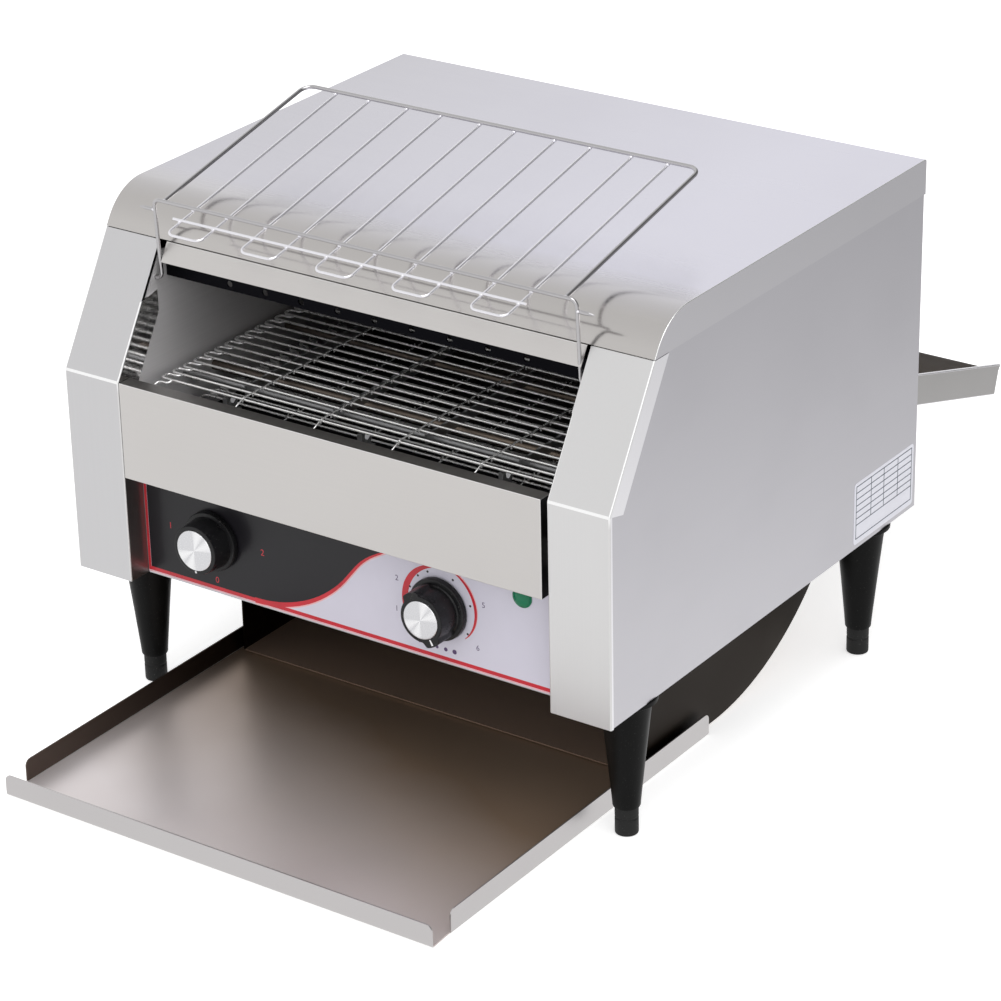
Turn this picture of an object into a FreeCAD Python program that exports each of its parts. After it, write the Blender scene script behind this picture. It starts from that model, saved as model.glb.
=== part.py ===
import FreeCAD, Part
import math
import os
import Sketcher

# Conveyor toaster: a folded sheet casing on four legs. Bread goes in over the front fascia, rides a
# wire belt between two rows of heating tubes, and drops to the front tray or to the rear chute.
# X runs to the right, Y to the back and Z up. Y is counted from the front faces of the two columns
# while the pieces are drawn; each piece's placement then moves it so that the part's origin is under
# the middle of its bounding box.

# Driving dimensions in millimetres
LENGTHS = {
    # Casing
    "casing_width": 470,
    "casing_depth": 422,
    "underside_height": 110,
    "knee_height": 268.5,
    "column_top_height": 359,
    "column_top_setback": 54.3,
    "roof_height": 388,
    "hood_edge_height": 361,
    "roof_bend_radius": 45,
    "hood_rear_flange": 27,
    "fold_radius": 2,
    "sheet_gauge": 1,
    "fit_gap": 0.5,
    "cut_overrun": 5,
    "column_face_width": 50,
    "column_wrap": 3,
    "slope_flange_width": 17.8,
    "slope_flange_drop": 3.7,
    "return_depth": 20,
    "return_reach": 49.5,
    "return_turn_height": 258,
    "return_shoulder_height": 307,
    "return_cut_height": 324,
    "return_cut_drop": 4,
    "strip_end_gap": 7,
    "strip_edge_height": 347,
    "strip_top_height": 358,
    "strip_flange": 20,
    # Front of the casing
    "fascia_edge_height": 194,
    "fascia_left_gap": 0.5,
    "fascia_right_gap": 5,
    "fascia_top_flange": 12,
    "ear_height": 225,
    "ear_length": 20,
    "panel_setback": 20,
    "panel_hidden_rise": 20,
    "overlay_gauge": 0.4,
    "bay_depth": 92,
    "bay_rise": 95,
    # Rear panel
    "chute_opening_inset": 0.5,
    "chute_opening_sill": 168,
    "chute_opening_height": 40,
    "vent_length": 60,
    "vent_first_height": 250,
    "vent_top_margin": 39,
    "vent_centre": 110,
    "gland_inset": 23,
    "gland_height": 150,
    "rail_width": 46,
    "rail_flange": 14,
    # Oven
    "liner_gap": 1,
    "liner_slope_inset": 6,
    "liner_rear": 372,
    "reflector_front": 62,
    "reflector_rear": 371,
    "baffle_height": 16,
    "baffle_hole_radius": 2.5,
    "baffle_hole_drop": 11,
    "baffle_hole_pitch": 32,
    "lower_reflector_height": 212,
    "lower_reflector_flange": 9,
    "heater_radius": 4,
    "heater_reach": 11,
    "upper_heater_front": 110,
    "upper_heater_pitch": 70,
    "lower_heater_front": 110,
    "lower_heater_pitch": 88,
    "insulator_radius": 7,
    "insulator_length": 8,
    # Wire belt and its shafts
    "belt_top_height": 259,
    "belt_pitch": 12,
    "belt_side_gap": 5,
    "belt_wire_radius": 1,
    "belt_loop_radius": 4,
    "belt_hook_radius": 3,
    "belt_loop_inset": 7,
    "idler_setback": 42,
    "shaft_radius": 5,
    "shaft_reach": 9,
    "shaft_fit": 0.08,
    "drive_shaft_reach": 23,
    "sprocket_tip_radius": 14,
    "sprocket_root_radius": 9.5,
    "sprocket_thickness": 4,
    "sprocket_spacing": 120,
    "bearing_radius": 11,
    "bearing_length": 6,
    "support_rail_gauge": 2,
    "support_rail_height": 8,
    "support_rail_front": 64,
    "support_rail_length": 268,
    "support_rail_spacing": 80,
    "support_rod_radius": 3,
    "support_rod_inset": 12,
    # Drive
    "motor_centre_setback": 280,
    "motor_centre_height": 165,
    "gearbox_width": 21,
    "gearbox_depth": 56,
    "gearbox_height": 60,
    "gearbox_side_gap": 4,
    "motor_can_radius": 10,
    "motor_can_length": 70,
    "motor_shaft_radius": 4,
    "motor_shaft_length": 12,
    "bracket_margin": 8,
    "chain_reach": 17,
    "chain_pitch": 6.35,
    "chain_roller_radius": 1.6,
    "chain_plate_radius": 2.8,
    "chain_plate_gauge": 0.8,
    "chain_inner_width": 3.2,
    "chain_clearance": 0.6,
    "chain_wheel_thickness": 2.6,
    # Controls
    "selector_inset": 64,
    "speed_inset": 104.5,
    "knob_height": 152.8,
    "knob_front": 2,
    "knob_skirt_radius": 23,
    "knob_skirt_depth": 4.5,
    "knob_panel_gap": 0.6,
    "knob_body_radius": 20,
    "knob_rim_radius": 18.6,
    "knob_edge": 1.2,
    "knob_cap_radius": 15.6,
    "cap_gauge": 0.8,
    "pointer_radius": 17.1,
    "pointer_dot_radius": 0.9,
    "pointer_dot_depth": 0.5,
    "speed_knob_front": 3.2,
    "speed_skirt_radius": 23.6,
    "speed_body_radius": 17.6,
    "speed_cap_radius": 14.3,
    "speed_lobe_reach": 21,
    "speed_lobe_width": 11,
    "speed_lobe_rounding": 3,
    "spindle_radius": 3,
    "spindle_fit": 0.1,
    "spindle_end": 46,
    "switch_width": 44,
    "switch_height": 48,
    "switch_depth": 38,
    "speed_control_width": 52,
    "speed_control_height": 46,
    "speed_control_depth": 30,
    "switch_bore_depth": 27,
    "lamp_inset": 34.5,
    "lamp_height": 180,
    "lamp_radius": 7.9,
    "lamp_dome_rise": 3,
    "lamp_barrel_radius": 5.6,
    "lamp_body_radius": 8,
    "lamp_body_length": 24,
    "terminal_width": 34,
    "terminal_depth": 30,
    "terminal_height": 22,
    "terminal_setback": 382,
    "terminal_inset": 42,
    "terminal_well_radius": 3,
    "terminal_well_pitch": 10,
    "gland_barrel_radius": 8,
    "gland_flange_radius": 11,
    "gland_bore_radius": 4,
    "gland_nose_length": 12,
    "gland_nut_length": 5,
    # Feed rack
    "rack_pivot_setback": 50,
    "rack_pivot_height": 333,
    "rack_arm_length": 62,
    "rack_arm_gap": 5,
    "rack_wire_radius": 1.6,
    "rack_thin_wire_radius": 1,
    "rack_pin_reach": 3.5,
    "rack_pivot_bend": 3.5,
    "rack_corner_bend": 10,
    "rack_pivot_fit": 0.1,
    "rack_frame_gap": 14,
    "rack_frame_length": 172.5,
    "rack_frame_bend": 15,
    "hairpin_side_gap": 27,
    "hairpin_width": 30,
    "hairpin_overhang": 32,
    "hairpin_bend": 6,
    "tie_setback": 15.5,
    "tie_end_gap": 35,
    "stop_pin_drop": 8,
    "stop_pin_radius": 1.4,
    "stop_pin_reach": 21,
    # Legs and feet
    "leg_inset": 22,
    "leg_front_setback": 52,
    "leg_rear_setback": 376,
    "leg_flange_radius": 22.5,
    "leg_flange_thickness": 4,
    "leg_top_radius": 18.6,
    "leg_bottom_radius": 10,
    "leg_bottom_height": 21.5,
    "leg_edge": 0.8,
    "leg_bore_height": 62,
    "leg_stud_radius": 4,
    "leg_stud_rise": 10,
    "foot_radius": 8.5,
    "foot_edge": 1,
    "foot_stem_radius": 4,
    "foot_stem_fit": 0.08,
    "foot_stem_top": 58,
    # Toast tray
    "tray_side_overlap": 3,
    "tray_front": 146,
    "tray_rear": 201,
    "tray_lip_height": 17,
    "tray_wall_height": 18,
    "tray_wall_setback": 21.5,
    "tray_corner_radius": 5,
    # Toast slide
    "slide_side_gap": 3,
    "slide_front": 120,
    "slide_clearance": 0.8,
    "slide_flat_rear": 217,
    "slide_radius": 205,
    "slide_flange_height": 125,
    # Rear chute
    "chute_side_overlap": 5,
    "chute_length": 222,
    "chute_wall_height": 25,
    "chute_lip_height": 20,
    "chute_sill_height": 176,
    "chute_flange": 3,
    "chute_flange_overhang": 2,
    "chute_tongue_length": 40,
    "chute_tongue_gap": 3,
    "chute_hook": 8,
    "chute_panel_gap": 0.4,
    # Label and screws
    "label_front": 328,
    "label_width": 89,
    "label_bottom": 113.5,
    "label_height": 50,
    "label_gauge": 0.2,
    "screw_head_radius": 3.5,
    "screw_head_height": 2,
    "screw_inset": 13,
    "screw_first_height": 128,
    "screw_top_margin": 38,
    "ear_screw_radius": 2,
}

# Driving angles in degrees
ANGLES = {
    "slide_end_angle": 70,
    "chute_slope_angle": 16.6,
    "rack_arm_lean_angle": 3.7,
    "rack_rise_angle": 12.57,
    "speed_pointer_angle": -61,
}

# Counts
UPPER_HEATERS = 4
LOWER_HEATERS = 3
BELT_SPROCKET_TEETH = 8
BELT_RUN_PITCHES = 26
BAFFLE_HOLES = 9
HAIRPINS = 5
VENT_ROWS = 9
PANEL_SCREWS = 4
TERMINAL_WELLS = 3
CHAIN_WHEEL_TEETH = {"motor_sprocket": 12, "driven_sprocket": 18}

# Shares of a whole, and the distance under which two points count as one
HALF_SHARE = 0.5
UPPER_HEATER_SHARE = 0.49
UPPER_REFLECTOR_SHARE = 0.68
LINER_TOP_SHARE = 0.72
VENT_SLOT_SHARE = 0.36
CHAIN_TOOTH_SHARE = 0.28
TOUCHING = 1e-6

doc = FreeCAD.newDocument("ConveyorToaster")
sheet = doc.addObject("Spreadsheet::Sheet", "Dims")
for row, (name, value) in enumerate({**LENGTHS, **ANGLES}.items(), start=1):
    sheet.set(f"A{row}", name)
    sheet.set(f"B{row}", str(value))
    sheet.setAlias(f"B{row}", name)
doc.recompute()


# Sizes that keep both a number and the sheet expression that gives it
class Size:
    """A size with its number and the sheet expression that it comes from."""

    def __init__(self, number, text):
        self.number = number
        self.text = text

    def __add__(self, other):
        return combined(self, "+", other)

    def __radd__(self, other):
        return combined(other, "+", self)

    def __sub__(self, other):
        return combined(self, "-", other)

    def __rsub__(self, other):
        return combined(other, "-", self)

    def __mul__(self, other):
        return combined(self, "*", other)

    def __rmul__(self, other):
        return combined(other, "*", self)

    def __truediv__(self, other):
        return combined(self, "/", other)

    def __neg__(self):
        return combined(-1, "*", self)


class DrivingSizes:
    """Gives each named dimension of the sheet as a Size."""

    def __getattr__(self, name):
        return Size(float(sheet.get(name)), f"Dims.{name}")


ZERO = Size(0.0, "0")
dim = DrivingSizes()


def as_size(value):
    """Turn a plain number into a Size."""
    if isinstance(value, Size):
        return value
    return ZERO if value == 0 else Size(float(value), f"({value:.12g})")


def combined(first, sign, second):
    """Combine two sizes, leaving out sums and products that change nothing."""
    first = as_size(first)
    second = as_size(second)
    if sign == "+":
        number = first.number + second.number
        if second is ZERO:
            return first
        if first is ZERO:
            return second
    elif sign == "-":
        number = first.number - second.number
        if second is ZERO:
            return first
        if first.text == second.text:
            return ZERO
    elif sign == "*":
        number = first.number * second.number
        if first is ZERO or second is ZERO:
            return ZERO
        if first.text == "(1)":
            return second
        if second.text == "(1)":
            return first
    else:
        number = first.number / second.number
        if first is ZERO:
            return ZERO
    return Size(number, f"({first.text} {sign} {second.text})")


def root(size):
    """Square root of a size."""
    return Size(math.sqrt(size.number), f"sqrt({size.text})")


def sine(degrees):
    """Sine of an angle in degrees."""
    degrees = as_size(degrees)
    return Size(math.sin(math.radians(degrees.number)), f"sin({degrees.text})")


def cosine(degrees):
    """Cosine of an angle in degrees."""
    degrees = as_size(degrees)
    return Size(math.cos(math.radians(degrees.number)), f"cos({degrees.text})")


# Sizes that several pieces share
gauge = dim.sheet_gauge
half_width = dim.casing_width * HALF_SHARE
column_inner = half_width - dim.column_face_width
panel_outer = half_width - gauge
rear_face = dim.casing_depth - gauge
panel_front = dim.panel_setback
lean = dim.column_top_setback / (dim.column_top_height - dim.knee_height)
slope_inset = gauge * root(1 + lean * lean)
chute_end = (rear_face + (dim.chute_length + dim.chute_flange_overhang) * cosine(dim.chute_slope_angle)
             + dim.chute_wall_height * sine(dim.chute_slope_angle))
origin_shift = (dim.tray_front - chute_end) * HALF_SHARE
belt_pitch_radius = dim.belt_pitch * HALF_SHARE / sine(180 / BELT_SPROCKET_TEETH)
shaft_height = dim.belt_top_height - belt_pitch_radius
drive_setback = dim.idler_setback + dim.belt_pitch * BELT_RUN_PITCHES
headroom = dim.roof_height - dim.belt_top_height
upper_heater_height = dim.belt_top_height + headroom * UPPER_HEATER_SHARE
upper_reflector_height = dim.belt_top_height + headroom * UPPER_REFLECTOR_SHARE
liner_top_height = dim.belt_top_height + headroom * LINER_TOP_SHARE
leg_offset = half_width - dim.leg_inset
gland_centre = half_width - dim.gland_inset
strip_half_width = column_inner - dim.strip_end_gap
chute_opening_half_width = column_inner - dim.chute_opening_inset
liner_inner_half_width = column_inner + dim.liner_gap
heater_end = column_inner + dim.heater_reach
belt_half_width = column_inner - dim.belt_side_gap
shaft_end = column_inner + dim.shaft_reach
drive_shaft_left_end = column_inner + dim.drive_shaft_reach
chain_side = column_inner + dim.chain_reach
rack_arm_half_span = column_inner - dim.rack_arm_gap
rack_pin_end = column_inner + dim.rack_pin_reach
rack_frame_half_width = column_inner - dim.rack_frame_gap
tie_half_length = column_inner - dim.tie_end_gap
stop_pin_end = column_inner + dim.stop_pin_reach
tray_half_width = column_inner + dim.tray_side_overlap
slide_half_width = column_inner - dim.slide_side_gap
chute_half_width = column_inner + dim.chute_side_overlap
chute_tongue_half_width = column_inner - dim.chute_tongue_gap
selector_offset = column_inner - dim.selector_inset
speed_offset = column_inner - dim.speed_inset
lamp_offset = column_inner - dim.lamp_inset
gearbox_outer_side = half_width - dim.gearbox_side_gap
hairpin_room = rack_frame_half_width - dim.hairpin_side_gap - dim.hairpin_width * HALF_SHARE
hairpin_pitch = hairpin_room / ((HAIRPINS - 1) * HALF_SHARE)
rack_arm_top = dim.rack_pivot_height + dim.rack_arm_length * cosine(dim.rack_arm_lean_angle)
rack_arm_front = dim.rack_pivot_setback - dim.rack_arm_length * sine(dim.rack_arm_lean_angle)


def slope_setback(height, inset=ZERO):
    """Y of the sloped front at a height, moved inward by the inset along Y."""
    return lean * (height - dim.knee_height) + inset


# Drawing helpers
PLANE_ROLES = {"side": "YZ_Plane", "front": "XZ_Plane", "flat": "XY_Plane"}
subparts = []


def unit(start, end):
    """Direction from one point to another, and its length."""
    across = end[0] - start[0]
    up = end[1] - start[1]
    if across is ZERO:
        return (ZERO, as_size(math.copysign(1, up.number))), up
    if up is ZERO:
        return (as_size(math.copysign(1, across.number)), ZERO), across
    length = root(across * across + up * up)
    return (across / length, up / length), length


def arc_ends(before, corner, after, radius):
    """Where a tangent arc that rounds a corner starts and ends, and which way it turns."""
    inward, _ = unit(before, corner)
    outward, _ = unit(corner, after)
    alike = inward[0] * outward[0] + inward[1] * outward[1]
    reach = radius if alike is ZERO else radius * root((1 - alike) / (1 + alike))
    start = (corner[0] - inward[0] * reach, corner[1] - inward[1] * reach)
    end = (corner[0] + outward[0] * reach, corner[1] + outward[1] * reach)
    turn = inward[0].number * outward[1].number - inward[1].number * outward[0].number
    return start, end, math.copysign(1, turn), (inward[0].number, inward[1].number)


def numbers(point):
    """A sketch point as a vector."""
    return FreeCAD.Vector(point[0].number, point[1].number, 0)


def fix(sketch, geometry, vertex, point):
    """Hold a vertex at a point that the sheet drives."""
    for kind, size in (("DistanceX", point[0]), ("DistanceY", point[1])):
        index = sketch.addConstraint(Sketcher.Constraint(kind, -1, 1, geometry, vertex, size.number))
        if size is not ZERO:
            sketch.setExpression(f"Constraints[{index}]", size.text)


def set_radius(sketch, geometry, radius):
    """Hold the radius of an arc or circle at a size that the sheet drives."""
    index = sketch.addConstraint(Sketcher.Constraint("Radius", geometry, radius.number))
    sketch.setExpression(f"Constraints[{index}]", radius.text)


def trace(sketch, corners, closed=True):
    """Draw an outline through corners (across, up), or (across, up, radius) for a rounded one."""
    points = [(as_size(corner[0]), as_size(corner[1])) for corner in corners]
    pieces = []
    for step, corner in enumerate(corners):
        here = points[step]
        if len(corner) == 2:
            pieces.append((here, here, None))
            continue
        before = points[step - 1]
        after = points[(step + 1) % len(points)]
        start, end, turn, inward = arc_ends(before, here, after, as_size(corner[2]))
        pieces.append((start, end, (as_size(corner[2]), turn, inward)))
    drawn = []
    for step, (start, end, arc) in enumerate(pieces):
        if arc:
            radius, turn, inward = arc
            size = radius.number
            centre = numbers(start) + FreeCAD.Vector(-inward[1] * turn * size, inward[0] * turn * size, 0)
            angles = [math.atan2(end_point.y - centre.y, end_point.x - centre.x)
                      for end_point in (numbers(start), numbers(end))]
            if turn < 0:
                angles.reverse()
            circle = Part.Circle(centre, FreeCAD.Vector(0, 0, 1), size)
            geometry = sketch.addGeometry(Part.ArcOfCircle(circle, angles[0], angles[1]))
            set_radius(sketch, geometry, radius)
            drawn.append((geometry, 1 if turn > 0 else 2, 2 if turn > 0 else 1, start, end))
        if step + 1 == len(pieces) and not closed:
            break
        following = pieces[(step + 1) % len(pieces)][0]
        if numbers(end).distanceToPoint(numbers(following)) < TOUCHING:
            continue
        geometry = sketch.addGeometry(Part.LineSegment(numbers(end), numbers(following)))
        drawn.append((geometry, 1, 2, end, following))
    for step, (geometry, first, last, start, end) in enumerate(drawn):
        fix(sketch, geometry, first, start)
        if step + 1 == len(drawn) and not closed:
            fix(sketch, geometry, last, end)
            break
        neighbour = drawn[(step + 1) % len(drawn)]
        sketch.addConstraint(Sketcher.Constraint("Coincident", geometry, last, neighbour[0], neighbour[1]))


def new_body(name):
    """An empty body."""
    return doc.addObject("PartDesign::Body", name)


def sketch_in(body, plane, offset, outlines=(), circles=(), closed=True):
    """A sketch on one of the body's own planes, moved along X, Y or Z by the offset."""
    sketch = body.newObject("Sketcher::SketchObject", f"{body.Name}_sketch")
    role = PLANE_ROLES[plane]
    support = [feature for feature in body.Origin.OriginFeatures if feature.Role == role][0]
    sketch.AttachmentSupport = [(support, "")]
    sketch.MapMode = "FlatFace"
    offset = as_size(offset)
    if plane == "front":
        offset = -offset
    sketch.AttachmentOffset = FreeCAD.Placement(FreeCAD.Vector(0, 0, offset.number), FreeCAD.Rotation())
    sketch.setExpression("AttachmentOffset.Base.z", offset.text)
    for corners in outlines:
        trace(sketch, corners, closed)
    for across, up, radius in circles:
        centre = (as_size(across), as_size(up))
        circle = Part.Circle(numbers(centre), FreeCAD.Vector(0, 0, 1), radius.number)
        geometry = sketch.addGeometry(circle)
        fix(sketch, geometry, 3, centre)
        set_radius(sketch, geometry, radius)
    return sketch


def pad(body, plane, start, length, outlines=(), circles=()):
    """Add what the outlines enclose, from the start over the length along X, Y or Z."""
    sketch = sketch_in(body, plane, start, outlines, circles)
    feature = body.newObject("PartDesign::Pad", f"{body.Name}_pad")
    feature.Profile = sketch
    feature.Reversed = plane == "front"
    feature.setExpression("Length", length.text)
    doc.recompute()


def pocket(body, plane, start, length, outlines=(), circles=()):
    """Take away what the outlines enclose, from the start over the length along X, Y or Z."""
    volume = body.Shape.Volume
    sketch = sketch_in(body, plane, start, outlines, circles)
    feature = body.newObject("PartDesign::Pocket", f"{body.Name}_pocket")
    feature.Profile = sketch
    feature.Reversed = plane != "front"
    feature.setExpression("Length", length.text)
    doc.recompute()
    if body.Shape.Volume >= volume:
        raise ValueError(f"a pocket in {body.Name} takes nothing away")


def revolve(body, plane, corners, axis):
    """Turn an outline about the sketch's own H_Axis or V_Axis."""
    sketch = sketch_in(body, plane, ZERO, [corners])
    feature = body.newObject("PartDesign::Revolution", f"{body.Name}_turning")
    feature.Profile = sketch
    feature.ReferenceAxis = (sketch, [axis])
    feature.Angle = 360
    doc.recompute()


def bent_wire(body, plane, corners, wire_radius, end_plane, end_offset, end_centre):
    """Sweep a round wire along an open path of straight runs and rounded corners."""
    path = sketch_in(body, plane, ZERO, [corners], closed=False)
    profile = sketch_in(body, end_plane, end_offset, circles=[(*end_centre, wire_radius)])
    doc.recompute()
    feature = body.newObject("PartDesign::AdditivePipe", f"{body.Name}_pipe")
    feature.Profile = profile
    feature.Spine = (path, [f"Edge{number + 1}" for number in range(len(path.Shape.Edges))])
    doc.recompute()


def box(across, depth, height):
    """A block between two values each of X, Y and Z."""
    item = doc.addObject("Part::Box", "block")
    sides = ((across, "Length", "x"), (depth, "Width", "y"), (height, "Height", "z"))
    for (start, end), length, axis in sides:
        item.setExpression(length, (end - start).text)
        item.setExpression(f"Placement.Base.{axis}", as_size(start).text)
    return item


def cylinder(axis, start, length, centre, radius):
    """A cylinder along X, Y or Z from the start; the centre is in the two other coordinates."""
    item = doc.addObject("Part::Cylinder", "rod")
    turns = {"x": ((0, 1, 0), 90), "y": ((1, 0, 0), -90), "z": ((0, 0, 1), 0)}
    bases = {"x": (start, *centre), "y": (centre[0], start, centre[1]), "z": (*centre, start)}
    direction, angle = turns[axis]
    item.Placement = FreeCAD.Placement(FreeCAD.Vector(), FreeCAD.Rotation(FreeCAD.Vector(*direction), angle))
    item.setExpression("Radius", radius.text)
    item.setExpression("Height", length.text)
    for letter, size in zip("xyz", bases[axis]):
        item.setExpression(f"Placement.Base.{letter}", as_size(size).text)
    return item


def joined(items):
    """One solid out of several touching ones."""
    item = doc.addObject("Part::MultiFuse", "joined")
    item.Shapes = items
    return item


def grouped(items):
    """Several separate solids as one group."""
    item = doc.addObject("Part::Compound", "group")
    item.Links = items
    return item


def without(base, tools):
    """A solid less other solids."""
    item = doc.addObject("Part::Cut", "cut")
    item.Base = base
    item.Tool = tools[0] if len(tools) == 1 else grouped(tools)
    return item


def place(item, name, across=ZERO, setback=ZERO, height=ZERO, tilt=None):
    """Name a finished sub-part and move it into the part's own frame, turned about X by the tilt."""
    item.Label = name
    if tilt is not None:
        item.Placement = FreeCAD.Placement(
            FreeCAD.Vector(), FreeCAD.Rotation(FreeCAD.Vector(1, 0, 0), tilt.number))
        item.setExpression("Placement.Rotation.Angle", tilt.text)
    for letter, size in (("x", across), ("y", setback + origin_shift), ("z", height)):
        if size is not ZERO:
            item.setExpression(f"Placement.Base.{letter}", size.text)
    subparts.append(item)


def span(side, near, thickness):
    """Start of a sheet that runs outward from a distance to the left (-1) or right (1)."""
    return near if side > 0 else -(near + thickness)


SIDES = {"left": -1, "right": 1}


# Hood: one sheet bent over the front, the roof and the rear, with side skirts
def build_hood():
    edge = dim.hood_edge_height
    roof = dim.roof_height
    depth = dim.casing_depth
    front_edge = (slope_setback(edge), edge)
    bend = (slope_setback(roof), roof, dim.roof_bend_radius)
    rear_bend = (depth, roof, dim.fold_radius)
    rear_edge = roof - dim.hood_rear_flange
    inner_roof = roof - gauge
    body = new_body("hood")
    pad(body, "side", -half_width, dim.casing_width, [[
        front_edge,
        bend,
        rear_bend,
        (depth, rear_edge),
        (depth - gauge, rear_edge),
        (depth - gauge, inner_roof, dim.fold_radius - gauge),
        (slope_setback(inner_roof, slope_inset), inner_roof, dim.roof_bend_radius - gauge),
        (slope_setback(edge, slope_inset), edge),
    ]])
    skirt = [front_edge, bend, rear_bend, (depth, rear_edge)]
    for side in SIDES.values():
        pad(body, "side", span(side, panel_outer, gauge), gauge, [skirt])
    place(body, "hood")


# Side panels: flat sheets just inside the column wraps and the hood skirts
def build_side_panels():
    bottom = dim.underside_height
    bend_start = dim.roof_height - dim.roof_bend_radius * HALF_SHARE
    top = dim.roof_height - gauge - dim.fold_radius
    top_front = slope_setback(dim.roof_height) + dim.roof_bend_radius * HALF_SHARE
    for name, side in SIDES.items():
        body = new_body(f"{name}_side_panel")
        pad(body, "side", span(side, panel_outer - gauge, gauge), gauge, [[
            (gauge, bottom),
            (gauge, dim.knee_height - (slope_inset - gauge) / lean),
            (slope_setback(bend_start, slope_inset), bend_start),
            (top_front + dim.fit_gap, top),
            (rear_face, top),
            (rear_face, bottom),
        ]])
        place(body, f"{name}_side_panel")


# Front columns: face sheet with the knee, polished inner return, outer wrap and slope flange
def build_columns():
    bottom = dim.underside_height
    knee = dim.knee_height
    top = dim.column_top_height
    setback = dim.column_top_setback
    cut_front = dim.return_cut_height - dim.return_cut_drop
    for name, side in SIDES.items():
        body = new_body(f"{name}_front_column")
        face_start = column_inner if side > 0 else -half_width
        pad(body, "side", face_start, dim.column_face_width, [[
            (0, bottom),
            (0, knee),
            (setback, top),
            (setback + slope_inset, top),
            (gauge, knee - (slope_inset - gauge) / lean),
            (gauge, bottom),
        ]])
        pad(body, "side", span(side, column_inner, gauge), gauge, [[
            (0, bottom),
            (0, knee),
            (slope_setback(cut_front), cut_front),
            (dim.return_reach, dim.return_cut_height),
            (dim.return_reach, dim.return_shoulder_height),
            (dim.return_depth, dim.return_turn_height),
            (dim.return_depth, bottom),
        ]])
        flange = dim.slope_flange_width
        low = knee - dim.slope_flange_drop
        pad(body, "side", span(side, panel_outer, gauge), gauge, [[
            (0, bottom),
            (0, knee),
            (setback, top),
            (setback + flange, top),
            (slope_setback(low, flange), low),
            (dim.column_wrap, knee - dim.slope_flange_drop * dim.column_wrap / flange),
            (dim.column_wrap, bottom),
        ]])
        place(body, f"{name}_front_column")


# Strip under the hood: a narrow face in the sloped front, folded back at its top
def build_front_strip():
    low = dim.strip_edge_height
    high = dim.strip_top_height
    inner_top = high - gauge
    body = new_body("hood_front_strip")
    pad(body, "side", -strip_half_width, strip_half_width * 2, [[
        (slope_setback(low), low),
        (slope_setback(high), high),
        (slope_setback(high) + dim.strip_flange, high),
        (slope_setback(high) + dim.strip_flange, inner_top),
        (slope_setback(inner_top, slope_inset), inner_top),
        (slope_setback(low, slope_inset), low),
    ]])
    place(body, "hood_front_strip")


# Front fascia: a channel between the columns, closed at its ends, with a fixing ear on the right
def build_fascia():
    low = dim.fascia_edge_height
    high = dim.knee_height
    left = -(column_inner - dim.fascia_left_gap)
    right = column_inner - dim.fascia_right_gap
    flange = dim.fascia_top_flange
    lower_flange = panel_front - dim.fit_gap
    body = new_body("front_fascia")
    pad(body, "side", left, right - left, [[
        (0, low),
        (0, high),
        (flange, high),
        (flange, high - gauge),
        (gauge, high - gauge),
        (gauge, low + gauge),
        (lower_flange, low + gauge),
        (lower_flange, low),
    ]])
    for start in (left, right - gauge):
        pad(body, "side", start, gauge, [[(0, low), (0, high), (flange, high), (flange, low)]])
    ear_low = dim.ear_height - dim.ear_length * HALF_SHARE
    ear_high = dim.ear_height + dim.ear_length * HALF_SHARE
    pad(body, "front", flange - gauge, gauge, [[
        (right - gauge, ear_low),
        (column_inner, ear_low),
        (column_inner, ear_high),
        (right - gauge, ear_high),
    ]])
    place(body, "front_fascia")


# Control panel behind the fascia plane, its printed overlay and the bay behind it
def build_control_panel():
    low = dim.underside_height + gauge
    holes = [
        (-selector_offset, dim.knob_height, dim.spindle_radius + dim.spindle_fit),
        (speed_offset, dim.knob_height, dim.spindle_radius + dim.spindle_fit),
        (lamp_offset, dim.lamp_height, dim.lamp_barrel_radius),
    ]
    reach = liner_inner_half_width
    high = dim.fascia_edge_height + dim.panel_hidden_rise
    panel = new_body("control_panel")
    pad(panel, "front", panel_front, gauge, [[(-reach, low), (reach, low), (reach, high), (-reach, high)]])
    pocket(panel, "front", panel_front - dim.cut_overrun, gauge + dim.cut_overrun * 2, circles=holes)
    place(panel, "control_panel")

    edge = column_inner - dim.fascia_left_gap
    overlay_top = dim.fascia_edge_height - dim.fit_gap
    overlay = new_body("panel_overlay")
    pad(overlay, "front", panel_front - dim.overlay_gauge, dim.overlay_gauge, [[
        (-edge, low),
        (edge, low),
        (edge, overlay_top),
        (-edge, overlay_top),
    ]])
    pocket(overlay, "front", panel_front - dim.cut_overrun, gauge + dim.cut_overrun * 2, circles=holes)
    place(overlay, "panel_overlay")

    rear = panel_front + gauge + dim.bay_depth
    bay = new_body("control_bay")
    pad(bay, "side", -edge, edge * 2, [[
        (panel_front, dim.underside_height),
        (rear, dim.underside_height),
        (rear, dim.underside_height + dim.bay_rise),
        (rear - gauge, dim.underside_height + dim.bay_rise),
        (rear - gauge, dim.underside_height + gauge),
        (panel_front, dim.underside_height + gauge),
    ]])
    place(bay, "control_bay")


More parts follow.
